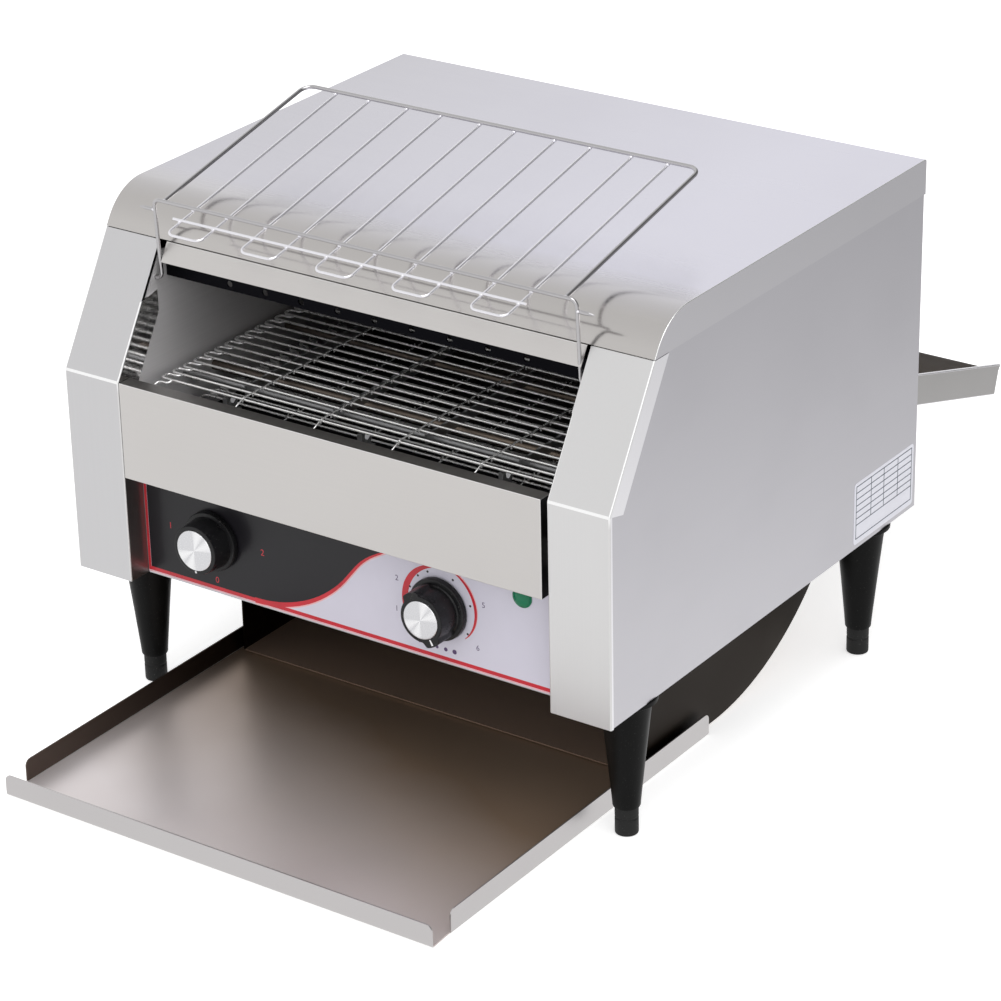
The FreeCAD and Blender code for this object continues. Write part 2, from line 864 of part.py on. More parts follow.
# Rear panel with the chute opening, two fields of vent slots and the hole of the cord gland
def build_rear_panel():
    reach = panel_outer - gauge
    low = dim.underside_height
    high = dim.roof_height - gauge - dim.fold_radius
    front = rear_face - gauge
    cut_front = front - dim.cut_overrun
    cut_depth = gauge + dim.cut_overrun * 2
    body = new_body("rear_panel")
    pad(body, "front", front, gauge, [[(-reach, low), (reach, low), (reach, high), (-reach, high)]])
    side = chute_opening_half_width
    sill = dim.chute_opening_sill
    head = sill + dim.chute_opening_height
    opening = [(-side, sill), (side, sill), (side, head), (-side, head)]
    slots = []
    vent_pitch = (dim.roof_height - dim.vent_first_height - dim.vent_top_margin) / VENT_ROWS
    for centre in (-dim.vent_centre, dim.vent_centre):
        for row in range(VENT_ROWS):
            base = dim.vent_first_height + vent_pitch * row
            left = centre - dim.vent_length * HALF_SHARE
            right = centre + dim.vent_length * HALF_SHARE
            head_of_slot = base + vent_pitch * VENT_SLOT_SHARE
            slots.append([(left, base), (right, base), (right, head_of_slot), (left, head_of_slot)])
    gland = (-gland_centre, dim.gland_height, dim.gland_barrel_radius)
    pocket(body, "front", cut_front, cut_depth, [opening, *slots], [gland])
    place(body, "rear_panel")


# Base rails: channels that close the underside at each side and carry the legs
def build_base_rails():
    low = dim.underside_height
    inner = panel_outer - gauge - dim.rail_width
    length = rear_face - gauge * 2
    for name, side in SIDES.items():
        near = inner * side
        far = (inner + dim.rail_width) * side
        wall = gauge * side
        body = new_body(f"{name}_base_rail")
        pad(body, "front", gauge, length, [[
            (near, low),
            (far, low),
            (far, low + dim.rail_flange),
            (far - wall, low + dim.rail_flange),
            (far - wall, low + gauge),
            (near + wall, low + gauge),
            (near + wall, low + dim.rail_flange),
            (near, low + dim.rail_flange),
        ]])
        studs = [(leg_offset * side, setback, dim.leg_stud_radius)
                 for setback in (dim.leg_front_setback, dim.leg_rear_setback)]
        pocket(body, "flat", low - dim.cut_overrun, gauge + dim.cut_overrun * 2, circles=studs)
        place(body, f"{name}_base_rail")


def heater_centres():
    """Y and Z of the upper and the lower heating tubes."""
    upper = [(dim.upper_heater_front + dim.upper_heater_pitch * row, upper_heater_height)
             for row in range(UPPER_HEATERS)]
    lower = [(dim.lower_heater_front + dim.lower_heater_pitch * row, shaft_height)
             for row in range(LOWER_HEATERS)]
    return upper, lower


# Oven liners: the side walls of the heated space, with holes for tubes, shafts and the rack's pivots
def build_liners():
    upper, lower = heater_centres()
    low = dim.underside_height + gauge
    top = liner_top_height
    front = panel_front + gauge
    inset = dim.liner_slope_inset
    holes = [(*centre, dim.heater_radius + dim.fit_gap) for centre in upper + lower]
    holes += [(setback, shaft_height, dim.shaft_radius + dim.fit_gap)
              for setback in (dim.idler_setback, drive_setback)]
    pivot_hole = dim.rack_wire_radius + dim.rack_pivot_fit
    holes.append((dim.rack_pivot_setback, dim.rack_pivot_height, pivot_hole))
    for name, side in SIDES.items():
        start = span(side, liner_inner_half_width, gauge)
        body = new_body(f"{name}_liner")
        pad(body, "side", start, gauge, [[
            (front, low),
            (front, dim.knee_height + (front - inset) / lean),
            (slope_setback(top, inset), top),
            (dim.liner_rear, top),
            (dim.liner_rear, low),
        ]])
        pocket(body, "side", start - dim.cut_overrun, gauge + dim.cut_overrun * 2, circles=holes)
        place(body, f"{name}_liner")


# Reflectors over and under the belt, the upper one with a dark drilled baffle at its front
def build_reflectors():
    reach = liner_inner_half_width
    front = dim.reflector_front
    rear = dim.reflector_rear
    top = upper_reflector_height
    edge = top - dim.baffle_height
    upper = new_body("upper_reflector")
    pad(upper, "side", -reach, reach * 2, [[
        (front, edge),
        (front, top),
        (rear, top),
        (rear, edge),
        (rear - gauge, edge),
        (rear - gauge, top - gauge),
        (front + gauge, top - gauge),
        (front + gauge, edge),
    ]])
    first = -dim.baffle_hole_pitch * (BAFFLE_HOLES - 1) * HALF_SHARE
    holes = [(first + dim.baffle_hole_pitch * count, top - dim.baffle_hole_drop, dim.baffle_hole_radius)
             for count in range(BAFFLE_HOLES)]
    pocket(upper, "front", front - dim.cut_overrun, gauge + dim.cut_overrun * 2, circles=holes)
    place(upper, "upper_reflector")

    low = dim.lower_reflector_height
    lip = low + dim.lower_reflector_flange
    lower_rear = drive_setback - belt_pitch_radius
    lower = new_body("lower_reflector")
    pad(lower, "side", -reach, reach * 2, [[
        (front, low),
        (front, lip),
        (front + gauge, lip),
        (front + gauge, low + gauge),
        (lower_rear - gauge, low + gauge),
        (lower_rear - gauge, lip),
        (lower_rear, lip),
        (lower_rear, low),
    ]])
    place(lower, "lower_reflector")


# Heating tubes and the ceramic sleeves that hold their ends outside the liners
def build_heaters():
    upper, lower = heater_centres()
    length = heater_end * 2
    for name, centres in (("upper_heaters", upper), ("lower_heaters", lower)):
        tubes = [cylinder("x", -heater_end, length, centre, dim.heater_radius) for centre in centres]
        place(grouped(tubes), name)
    sleeves = []
    for side in SIDES.values():
        start = span(side, liner_inner_half_width + gauge, dim.insulator_length)
        for centre in upper + lower:
            sleeve = cylinder("x", start, dim.insulator_length, centre, dim.insulator_radius)
            bore = cylinder("x", start, dim.insulator_length, centre, dim.heater_radius)
            sleeves.append(without(sleeve, [bore]))
    place(grouped(sleeves), "heater_insulators")


def belt_bars():
    """Y and Z of every cross wire of the belt, in running order: top run, rear, return run, front."""
    count = BELT_RUN_PITCHES
    teeth = BELT_SPROCKET_TEETH
    radius = belt_pitch_radius.number
    pitch = dim.belt_pitch.number
    front = dim.idler_setback.number
    rear = drive_setback.number
    height = shaft_height.number
    bars = [(front + pitch * step, height + radius) for step in range(count)]
    for step in range(teeth // 2):
        angle = math.radians(90 - 360 / teeth * step)
        bars.append((rear + radius * math.cos(angle), height + radius * math.sin(angle)))
    bars += [(rear - pitch * step, height - radius) for step in range(count)]
    for step in range(teeth // 2):
        angle = math.radians(-90 - 360 / teeth * step)
        bars.append((front + radius * math.cos(angle), height + radius * math.sin(angle)))
    return bars


def belt_strand():
    """One cross wire along X with a loop at each end that reaches toward the next wire along Y."""
    edge = belt_half_width.number
    loop = dim.belt_loop_radius.number
    hook = dim.belt_hook_radius.number
    inset = dim.belt_loop_inset.number
    points = [(-edge + inset + hook, loop * 2 + hook), (-edge + inset + hook, loop * 2),
              (-edge, loop * 2), (-edge, 0), (edge, 0), (edge, loop * 2),
              (edge - inset - hook, loop * 2), (edge - inset - hook, loop * 2 + hook)]
    radii = [hook, loop, loop, loop, loop, hook]
    edges = []
    last = FreeCAD.Vector(*points[0], 0)
    for number, radius in enumerate(radii, start=1):
        corner = FreeCAD.Vector(*points[number], 0)
        before = (FreeCAD.Vector(*points[number - 1], 0) - corner).normalize()
        after = (FreeCAD.Vector(*points[number + 1], 0) - corner).normalize()
        start = corner + before * radius
        end = corner + after * radius
        middle = corner + (before + after) * radius * (1 - math.sqrt(HALF_SHARE))
        if last.distanceToPoint(start) > TOUCHING:
            edges.append(Part.LineSegment(last, start).toShape())
        edges.append(Part.Arc(start, middle, end).toShape())
        last = end
    path = Part.Wire(edges)
    ring = Part.Wire(Part.Circle(FreeCAD.Vector(*points[0], 0), FreeCAD.Vector(0, 1, 0),
                                 dim.belt_wire_radius.number).toShape())
    return path.makePipeShell([ring], True, False)


# Wire belt: separate cross wires, each looped toward its neighbour at both edges
def build_belt():
    strand = belt_strand()
    bars = belt_bars()
    wires = []
    for number, (setback, height) in enumerate(bars):
        ahead, above = bars[(number + 1) % len(bars)]
        turn = math.degrees(math.atan2(above - height, ahead - setback))
        wire = strand.copy()
        wire.Placement = FreeCAD.Placement(
            FreeCAD.Vector(0, setback, height), FreeCAD.Rotation(FreeCAD.Vector(1, 0, 0), turn))
        wires.append(wire)
    belt = doc.addObject("Part::Feature", "wire_belt_shape")
    belt.Shape = Part.makeCompound(wires)
    place(belt, "wire_belt")


def toothed_outline(teeth, tip_radius, root_radius, tooth_share):
    """Corners of a toothed wheel with straight-sided teeth, about the origin."""
    corners = []
    step = 360 / teeth
    for tooth in range(teeth):
        for radius, share in ((root_radius, -1), (tip_radius, -HALF_SHARE), (tip_radius, HALF_SHARE),
                              (root_radius, 1)):
            angle = step * (tooth + tooth_share * share)
            corners.append((radius * cosine(angle), radius * sine(angle)))
    return corners


# Belt shafts with three toothed wheels each, the front one idle and the rear one driven
def build_belt_shafts():
    shafts = (
        ("idler", dim.idler_setback, shaft_end),
        ("drive", drive_setback, drive_shaft_left_end),
    )
    for name, setback, left_end in shafts:
        shaft = cylinder("x", -left_end, left_end + shaft_end, (ZERO, ZERO), dim.shaft_radius)
        place(grouped([shaft]), f"{name}_shaft", ZERO, setback, shaft_height)
        wheels = new_body(f"{name}_sprockets")
        outline = toothed_outline(BELT_SPROCKET_TEETH, dim.sprocket_tip_radius,
                                  dim.sprocket_root_radius, CHAIN_TOOTH_SHARE)
        for column in (-1, 0, 1):
            start = dim.sprocket_spacing * column - dim.sprocket_thickness * HALF_SHARE
            pad(wheels, "side", start, dim.sprocket_thickness, [outline], [(0, 0, dim.shaft_radius)])
        place(wheels, f"{name}_sprockets", ZERO, setback, shaft_height)


# Bearings: flanged bushes on the outer faces of the liners
def build_bearings():
    start = liner_inner_half_width + gauge
    bushes = []
    for side in SIDES.values():
        outer = span(side, start, dim.bearing_length)
        for setback in (dim.idler_setback, drive_setback):
            centre = (setback, shaft_height)
            bush = cylinder("x", outer, dim.bearing_length, centre, dim.bearing_radius)
            bore = cylinder("x", outer, dim.bearing_length, centre, dim.shaft_radius + dim.shaft_fit)
            bushes.append(without(bush, [bore]))
    place(grouped(bushes), "shaft_bearings")


# Belt supports: upright strips under the top run on two cross rods
def build_belt_rails():
    top = dim.belt_top_height - dim.belt_wire_radius
    front = dim.support_rail_front
    rear = front + dim.support_rail_length
    reach = liner_inner_half_width
    items = []
    for column in (-HALF_SHARE * 3, -HALF_SHARE, HALF_SHARE, HALF_SHARE * 3):
        start = dim.support_rail_spacing * column - dim.support_rail_gauge * HALF_SHARE
        items.append(box((start, start + dim.support_rail_gauge), (front, rear),
                         (top - dim.support_rail_height, top)))
    for setback in (front + dim.support_rod_inset, rear - dim.support_rod_inset):
        centre = (setback, top - dim.support_rail_height)
        items.append(cylinder("x", -reach, reach * 2, centre, dim.support_rod_radius))
    place(joined(items), "belt_rails")


def chain_wheel_radius(name):
    """Pitch radius of a chain wheel."""
    return dim.chain_pitch * HALF_SHARE / sine(180 / CHAIN_WHEEL_TEETH[name])


# Gear motor in the left compartment, its bracket on the base rail and the two chain wheels
def build_drive():
    side = -gearbox_outer_side
    inner = side + dim.gearbox_width
    setback = dim.motor_centre_setback
    height = dim.motor_centre_height
    depth = dim.gearbox_depth * HALF_SHARE
    rise = dim.gearbox_height * HALF_SHARE
    gearbox = box((side, inner), (setback - depth, setback + depth), (height - rise, height + rise))
    can_centre = ((side + inner) * HALF_SHARE, height)
    can = cylinder("y", setback - depth - dim.motor_can_length, dim.motor_can_length, can_centre,
                   dim.motor_can_radius)
    place(joined([gearbox, can]), "gear_motor")

    margin = dim.bracket_margin
    low = dim.underside_height + gauge
    bracket = new_body("motor_bracket")
    pad(bracket, "front", setback - depth - margin, (depth + margin) * 2, [[
        (side, low),
        (inner + gauge, low),
        (inner + gauge, height + rise),
        (inner, height + rise),
        (inner, low + gauge),
        (side, low + gauge),
    ]])
    pocket(bracket, "side", inner - dim.cut_overrun, gauge + dim.cut_overrun * 2,
           circles=[(setback, height, dim.motor_shaft_radius + dim.fit_gap)])
    place(bracket, "motor_bracket")

    wheel_start = -chain_side - dim.chain_wheel_thickness * HALF_SHARE
    wheels = (
        ("motor_sprocket", setback, height, dim.motor_shaft_radius),
        ("driven_sprocket", drive_setback, shaft_height, dim.shaft_radius),
    )
    for name, wheel_setback, wheel_height, bore in wheels:
        tip = chain_wheel_radius(name) - dim.chain_roller_radius - dim.chain_clearance
        outline = toothed_outline(CHAIN_WHEEL_TEETH[name], tip, tip - dim.chain_roller_radius,
                                  CHAIN_TOOTH_SHARE)
        body = new_body(name)
        if name == "motor_sprocket":
            shaft_start = inner + dim.shaft_fit
            pad(body, "side", wheel_start, dim.chain_wheel_thickness, [outline])
            pad(body, "side", shaft_start, wheel_start - shaft_start + dim.motor_shaft_length,
                circles=[(0, 0, bore)])
        else:
            pad(body, "side", wheel_start, dim.chain_wheel_thickness, [outline], [(0, 0, bore)])
        place(body, name, ZERO, wheel_setback, wheel_height)


def chain_path():
    """Points of the chain's pins, evenly spaced along its two arcs and two straight runs."""
    small = (dim.motor_centre_setback.number, dim.motor_centre_height.number)
    large = (drive_setback.number, shaft_height.number)
    small_radius = chain_wheel_radius("motor_sprocket").number
    large_radius = chain_wheel_radius("driven_sprocket").number
    across = large[0] - small[0]
    up = large[1] - small[1]
    apart = math.hypot(across, up)
    heading = math.atan2(up, across)
    opening = math.asin((large_radius - small_radius) / apart)
    run = math.sqrt(apart ** 2 - (large_radius - small_radius) ** 2)
    small_wrap = math.pi - 2 * opening
    large_wrap = math.pi + 2 * opening
    total = 2 * run + small_radius * small_wrap + large_radius * large_wrap
    links = 2 * round(total / dim.chain_pitch.number / 2)
    upper = heading + math.pi / 2 + opening
    lower = heading - math.pi / 2 - opening
    points = []
    for link in range(links):
        reach = total * link / links
        if reach < run:
            share = reach / run
            points.append(tuple(
                start + radius_from * trig(upper) + (end + radius_to * trig(upper)
                                                     - start - radius_from * trig(upper)) * share
                for start, end, radius_from, radius_to, trig in (
                    (small[0], large[0], small_radius, large_radius, math.cos),
                    (small[1], large[1], small_radius, large_radius, math.sin))))
            continue
        reach -= run
        if reach < large_radius * large_wrap:
            angle = upper - reach / large_radius
            points.append((large[0] + large_radius * math.cos(angle),
                           large[1] + large_radius * math.sin(angle)))
            continue
        reach -= large_radius * large_wrap
        if reach < run:
            share = reach / run
            points.append(tuple(
                start + radius_from * trig(lower) + (end + radius_to * trig(lower)
                                                     - start - radius_from * trig(lower)) * share
                for start, end, radius_from, radius_to, trig in (
                    (large[0], small[0], large_radius, small_radius, math.cos),
                    (large[1], small[1], large_radius, small_radius, math.sin))))
            continue
        reach -= run
        angle = lower - reach / small_radius
        points.append((small[0] + small_radius * math.cos(angle),
                       small[1] + small_radius * math.sin(angle)))
    return points


def link_plate(start, end, radius, side_start, thickness):
    """A flat link plate with round ends between two pins."""
    across = end[0] - start[0]
    up = end[1] - start[1]
    length = math.hypot(across, up)
    sideways = FreeCAD.Vector(0, -up / length * radius, across / length * radius)
    onward = FreeCAD.Vector(0, across / length * radius, up / length * radius)
    first = FreeCAD.Vector(side_start, start[0], start[1])
    second = FreeCAD.Vector(side_start, end[0], end[1])
    edges = [
        Part.LineSegment(first + sideways, second + sideways).toShape(),
        Part.Arc(second + sideways, second + onward, second - sideways).toShape(),
        Part.LineSegment(second - sideways, first - sideways).toShape(),
        Part.Arc(first - sideways, first - onward, first + sideways).toShape(),
    ]
    return Part.Face(Part.Wire(edges)).extrude(FreeCAD.Vector(thickness, 0, 0))


# Drive chain: rollers on pins, with inner and outer link plates in turn
def build_chain():
    points = chain_path()
    centre = -chain_side.number
    inner = dim.chain_inner_width.number
    plate = dim.chain_plate_gauge.number
    solids = []
    for number, start in enumerate(points):
        end = points[(number + 1) % len(points)]
        offset = inner / 2 + (plate if number % 2 else 0)
        for near in (centre - offset - plate, centre + offset):
            solids.append(link_plate(start, end, dim.chain_plate_radius.number, near, plate))
        base = FreeCAD.Vector(centre - inner / 2, start[0], start[1])
        solids.append(Part.makeCylinder(dim.chain_roller_radius.number, inner, base,
                                        FreeCAD.Vector(1, 0, 0)))
    chain = doc.addObject("Part::Feature", "drive_chain_shape")
    chain.Shape = Part.makeCompound(solids)
    place(chain, "drive_chain")


# Knobs: turned about Y with a spindle that runs into the switch behind the panel
def build_knobs():
    rear = panel_front - dim.overlay_gauge - dim.knob_panel_gap
    spindle = dim.spindle_radius

    front = -dim.knob_front
    skirt = rear - dim.knob_skirt_depth
    selector = new_body("selector_knob")
    revolve(selector, "flat", [
        (0, front),
        (dim.knob_rim_radius, front),
        (dim.knob_body_radius - dim.knob_edge, front + dim.knob_edge),
        (dim.knob_body_radius, skirt),
        (dim.knob_skirt_radius - dim.knob_edge, skirt),
        (dim.knob_skirt_radius, skirt + dim.knob_edge),
        (dim.knob_skirt_radius, rear),
        (spindle, rear),
        (spindle, dim.spindle_end),
        (0, dim.spindle_end),
    ], "V_Axis")
    pocket(selector, "front", front - dim.cut_overrun, dim.cut_overrun + dim.pointer_dot_depth,
           circles=[(0, -dim.pointer_radius, dim.pointer_dot_radius)])
    place(selector, "selector_knob", -selector_offset, ZERO, dim.knob_height)
    cap = cylinder("y", front - dim.cap_gauge, dim.cap_gauge, (ZERO, ZERO), dim.knob_cap_radius)
    place(grouped([cap]), "selector_cap", -selector_offset, ZERO, dim.knob_height)

    front = -dim.speed_knob_front
    speed = new_body("speed_knob")
    revolve(speed, "flat", [
        (0, front),
        (dim.speed_body_radius - dim.knob_edge, front),
        (dim.speed_body_radius, front + dim.knob_edge),
        (dim.speed_body_radius + dim.knob_edge, skirt),
        (dim.speed_skirt_radius - dim.knob_edge, skirt),
        (dim.speed_skirt_radius, skirt + dim.knob_edge),
        (dim.speed_skirt_radius, rear),
        (spindle, rear),
        (spindle, dim.spindle_end),
        (0, dim.spindle_end),
    ], "V_Axis")
    ahead = (cosine(dim.speed_pointer_angle), sine(dim.speed_pointer_angle))
    reach = dim.speed_lobe_reach
    lobe = dim.speed_lobe_width * HALF_SHARE
    corners = []
    for along, beside in ((-1, -1), (1, -1), (1, 1), (-1, 1)):
        corners.append((
            ahead[0] * reach * along - ahead[1] * lobe * beside,
            ahead[1] * reach * along + ahead[0] * lobe * beside,
            dim.speed_lobe_rounding,
        ))
    pad(speed, "front", front + dim.knob_edge, skirt - front, [corners])
    place(speed, "speed_knob", speed_offset, ZERO, dim.knob_height)
    cap = cylinder("y", front - dim.cap_gauge, dim.cap_gauge, (ZERO, ZERO), dim.speed_cap_radius)
    place(grouped([cap]), "speed_cap", speed_offset, ZERO, dim.knob_height)


# Selector switch and speed control behind the panel, each with a bore for its knob's spindle
def build_switches():
    front = panel_front + gauge
    controls = (
        ("selector_switch", -selector_offset, dim.switch_width, dim.switch_height, dim.switch_depth),
        ("speed_control", speed_offset, dim.speed_control_width, dim.speed_control_height,
         dim.speed_control_depth),
    )
    for name, across, width, tall, depth in controls:
        body = new_body(name)
        side = width * HALF_SHARE
        rise = tall * HALF_SHARE
        pad(body, "front", front, depth, [[(-side, -rise), (side, -rise), (side, rise), (-side, rise)]])
        pocket(body, "front", front - dim.cut_overrun, dim.cut_overrun + dim.switch_bore_depth,
               circles=[(0, 0, dim.spindle_radius + dim.shaft_fit)])
        place(body, name, across, ZERO, dim.knob_height)


# Pilot lamp: domed lens with a barrel through the panel, and the holder behind
def build_lamp():
    base = panel_front - dim.overlay_gauge
    lens = new_body("lamp_lens")
    revolve(lens, "flat", [
        (0, base - dim.lamp_dome_rise),
        (dim.lamp_radius * HALF_SHARE, base - dim.lamp_dome_rise),
        (dim.lamp_radius, base - dim.lamp_dome_rise * HALF_SHARE),
        (dim.lamp_radius, base),
        (dim.lamp_barrel_radius, base),
        (dim.lamp_barrel_radius, panel_front + gauge),
        (0, panel_front + gauge),
    ], "V_Axis")
    place(lens, "lamp_lens", lamp_offset, ZERO, dim.lamp_height)
    holder = cylinder("y", panel_front + gauge, dim.lamp_body_length, (ZERO, ZERO), dim.lamp_body_radius)
    place(grouped([holder]), "lamp_body", lamp_offset, ZERO, dim.lamp_height)


# Supply entry: terminal block on the left base rail and the cord gland in the rear panel
def build_supply():
    low = dim.underside_height + gauge
    left = dim.terminal_inset - half_width - dim.terminal_width
    front = dim.terminal_setback
    block = box((left, left + dim.terminal_width), (front, front + dim.terminal_depth),
                (low, low + dim.terminal_height))
    wells = []
    for count in range(TERMINAL_WELLS):
        middle = left + dim.terminal_width * HALF_SHARE + dim.terminal_well_pitch * (count - 1)
        wells.append(cylinder("z", low + dim.terminal_height * HALF_SHARE, dim.terminal_height,
                              (middle, front + dim.terminal_depth * HALF_SHARE),
                              dim.terminal_well_radius))
    place(without(block, wells), "terminal_block")

    gland = new_body("cord_gland")
    nut_front = rear_face - gauge - dim.gland_nut_length
    nose = rear_face + dim.gland_nose_length
    revolve(gland, "flat", [
        (dim.gland_bore_radius, nut_front),
        (dim.gland_flange_radius, nut_front),
        (dim.gland_flange_radius, rear_face - gauge),
        (dim.gland_barrel_radius, rear_face - gauge),
        (dim.gland_barrel_radius, rear_face),
        (dim.gland_flange_radius, rear_face),
        (dim.gland_barrel_radius, nose),
        (dim.gland_bore_radius, nose),
    ], "V_Axis")
    place(gland, "cord_gland", -gland_centre, ZERO, dim.gland_height)


# Feed rack: arms and crossbar of one wire, a frame, looped hairpins, a tie wire and two stop pins
def build_rack():
    thick = dim.rack_wire_radius
    thin = dim.rack_thin_wire_radius
    reach = rack_arm_half_span
    length = dim.rack_arm_length
    pin = rack_pin_end
    pivot = (ZERO, dim.rack_pivot_setback, dim.rack_pivot_height)
    lean_tilt = dim.rack_arm_lean_angle
    arms = new_body("rack_arm_wire")
    bent_wire(arms, "front", [
        (-pin, 0),
        (-reach, 0, dim.rack_pivot_bend),
        (-reach, length, dim.rack_corner_bend),
        (reach, length, dim.rack_corner_bend),
        (reach, 0, dim.rack_pivot_bend),
        (pin, 0),
    ], thick, "side", -pin, (ZERO, ZERO))
    place(arms, "rack_arm_wire", *pivot, lean_tilt)

    pins = []
    for side in SIDES.values():
        start = span(side, reach + thick, stop_pin_end - reach - thick)
        pins.append(cylinder("x", start, stop_pin_end - reach - thick,
                             (ZERO, length - dim.stop_pin_drop), dim.stop_pin_radius))
    place(grouped(pins), "rack_stop_pins", *pivot, lean_tilt)

    top = (ZERO, rack_arm_front, rack_arm_top)
    rise_tilt = dim.rack_rise_angle
    side = rack_frame_half_width
    rear = dim.rack_frame_length
    frame = new_body("rack_frame_wire")
    bent_wire(frame, "flat", [
        (-side, thick),
        (-side, rear, dim.rack_frame_bend),
        (side, rear, dim.rack_frame_bend),
        (side, thick),
    ], thick, "front", thick, (-side, ZERO))
    place(frame, "rack_frame_wire", *top, rise_tilt)

    under = -(thick + thin)
    half = dim.hairpin_width * HALF_SHARE
    over = -dim.hairpin_overhang
    hairpins = []
    for count in range(HAIRPINS):
        centre = hairpin_pitch * (count - (HAIRPINS - 1) / 2)
        hairpin = new_body(f"hairpin_{count + 1}")
        bent_wire(hairpin, "flat", [
            (centre - half, rear),
            (centre - half, over, dim.hairpin_bend),
            (centre + half, over, dim.hairpin_bend),
            (centre + half, rear),
        ], thin, "front", rear, (centre - half, ZERO))
        hairpin.setExpression("Placement.Base.z", under.text)
        hairpins.append(hairpin)
    place(grouped(hairpins), "rack_hairpins", *top, rise_tilt)

    tie = cylinder("x", -tie_half_length, tie_half_length * 2, (-dim.tie_setback, under + thin * 2),
                   thin)
    place(grouped([tie]), "rack_tie_wire", *top, rise_tilt)


# Legs: tapered, with a flange and a stud at the top and a bore for the foot's stem
def build_legs():
    top = dim.underside_height
    stem = dim.foot_stem_radius
    for side_name, side in SIDES.items():
        for end_name, setback in (("front", dim.leg_front_setback), ("rear", dim.leg_rear_setback)):
            leg = new_body(f"{side_name}_{end_name}_leg")
            revolve(leg, "front", [
                (0, dim.leg_bore_height),
                (stem + dim.foot_stem_fit, dim.leg_bore_height),
                (stem + dim.foot_stem_fit, dim.leg_bottom_height),
                (dim.leg_bottom_radius - dim.leg_edge, dim.leg_bottom_height),
                (dim.leg_bottom_radius, dim.leg_bottom_height + dim.leg_edge),
                (dim.leg_top_radius, top - dim.leg_flange_thickness),
                (dim.leg_flange_radius, top - dim.leg_flange_thickness),
                (dim.leg_flange_radius, top),
                (dim.leg_stud_radius, top),
                (dim.leg_stud_radius, top + dim.leg_stud_rise),
                (0, top + dim.leg_stud_rise),
            ], "V_Axis")
            place(leg, f"{side_name}_{end_name}_leg", leg_offset * side, setback)
            foot = new_body(f"{side_name}_{end_name}_foot")
            revolve(foot, "front", [
                (0, 0),
                (dim.foot_radius - dim.foot_edge, 0),
                (dim.foot_radius, dim.foot_edge),
                (dim.foot_radius, dim.leg_bottom_height),
                (stem, dim.leg_bottom_height),
                (stem, dim.foot_stem_top),
                (0, dim.foot_stem_top),
            ], "V_Axis")
            place(foot, f"{side_name}_{end_name}_foot", leg_offset * side, setback)


# Toast tray: a flat sheet with a front lip and two side walls, open at the front corners
def build_tray():
    side = tray_half_width
    front = -dim.tray_front
    rear = dim.tray_rear
    corner = dim.tray_corner_radius
    body = new_body("toast_tray")
    pad(body, "flat", ZERO, gauge, [[(-side, front), (side, front), (side, rear), (-side, rear)]])
    pad(body, "front", front, gauge, [[
        (-side, 0),
        (side, 0),
        (side, dim.tray_lip_height, corner),
        (-side, dim.tray_lip_height, corner),
    ]])
    wall_front = front + dim.tray_wall_setback
    for direction in SIDES.values():
        pad(body, "side", span(direction, side - gauge, gauge), gauge, [[
            (wall_front, 0),
            (wall_front, dim.tray_wall_height, corner),
            (rear, dim.tray_wall_height, corner),
            (rear, 0),
        ]])
    place(body, "toast_tray")


# Toast slide: a curved floor between two side plates that hang from the liners
def build_slide():
    low = gauge + dim.slide_clearance
    radius = dim.slide_radius
    angle = dim.slide_end_angle
    flat_rear = dim.slide_flat_rear
    reach = radius * sine(angle) / (1 + cosine(angle))
    inner_reach = (radius - gauge) * sine(angle) / (1 + cosine(angle))
    end = (flat_rear + radius * sine(angle), low + radius * (1 - cosine(angle)))
    inner_end = (flat_rear + (radius - gauge) * sine(angle),
                 low + radius - (radius - gauge) * cosine(angle))
    side = slide_half_width
    body = new_body("toast_slide")
    pad(body, "side", -side, side * 2, [[
        (dim.slide_front, low),
        (flat_rear + reach, low, radius),
        end,
        inner_end,
        (flat_rear + inner_reach, low + gauge, radius - gauge),
        (dim.slide_front, low + gauge),
    ]])
    for direction in SIDES.values():
        pad(body, "side", span(direction, side - gauge, gauge), gauge, [[
            (dim.slide_front, low),
            (flat_rear + reach, low, radius),
            end,
            (dim.slide_front, end[1]),
        ]])
        hook = liner_inner_half_width - side + gauge
        near = side - gauge if direction > 0 else -(side - gauge + hook)
        flange = dim.slide_flange_height
        pad(body, "flat", flange - gauge, gauge, [[
            (near, dim.slide_front),
            (near + hook, dim.slide_front),
            (near + hook, dim.liner_rear),
            (near, dim.liner_rear),
        ]])
    place(body, "toast_slide")


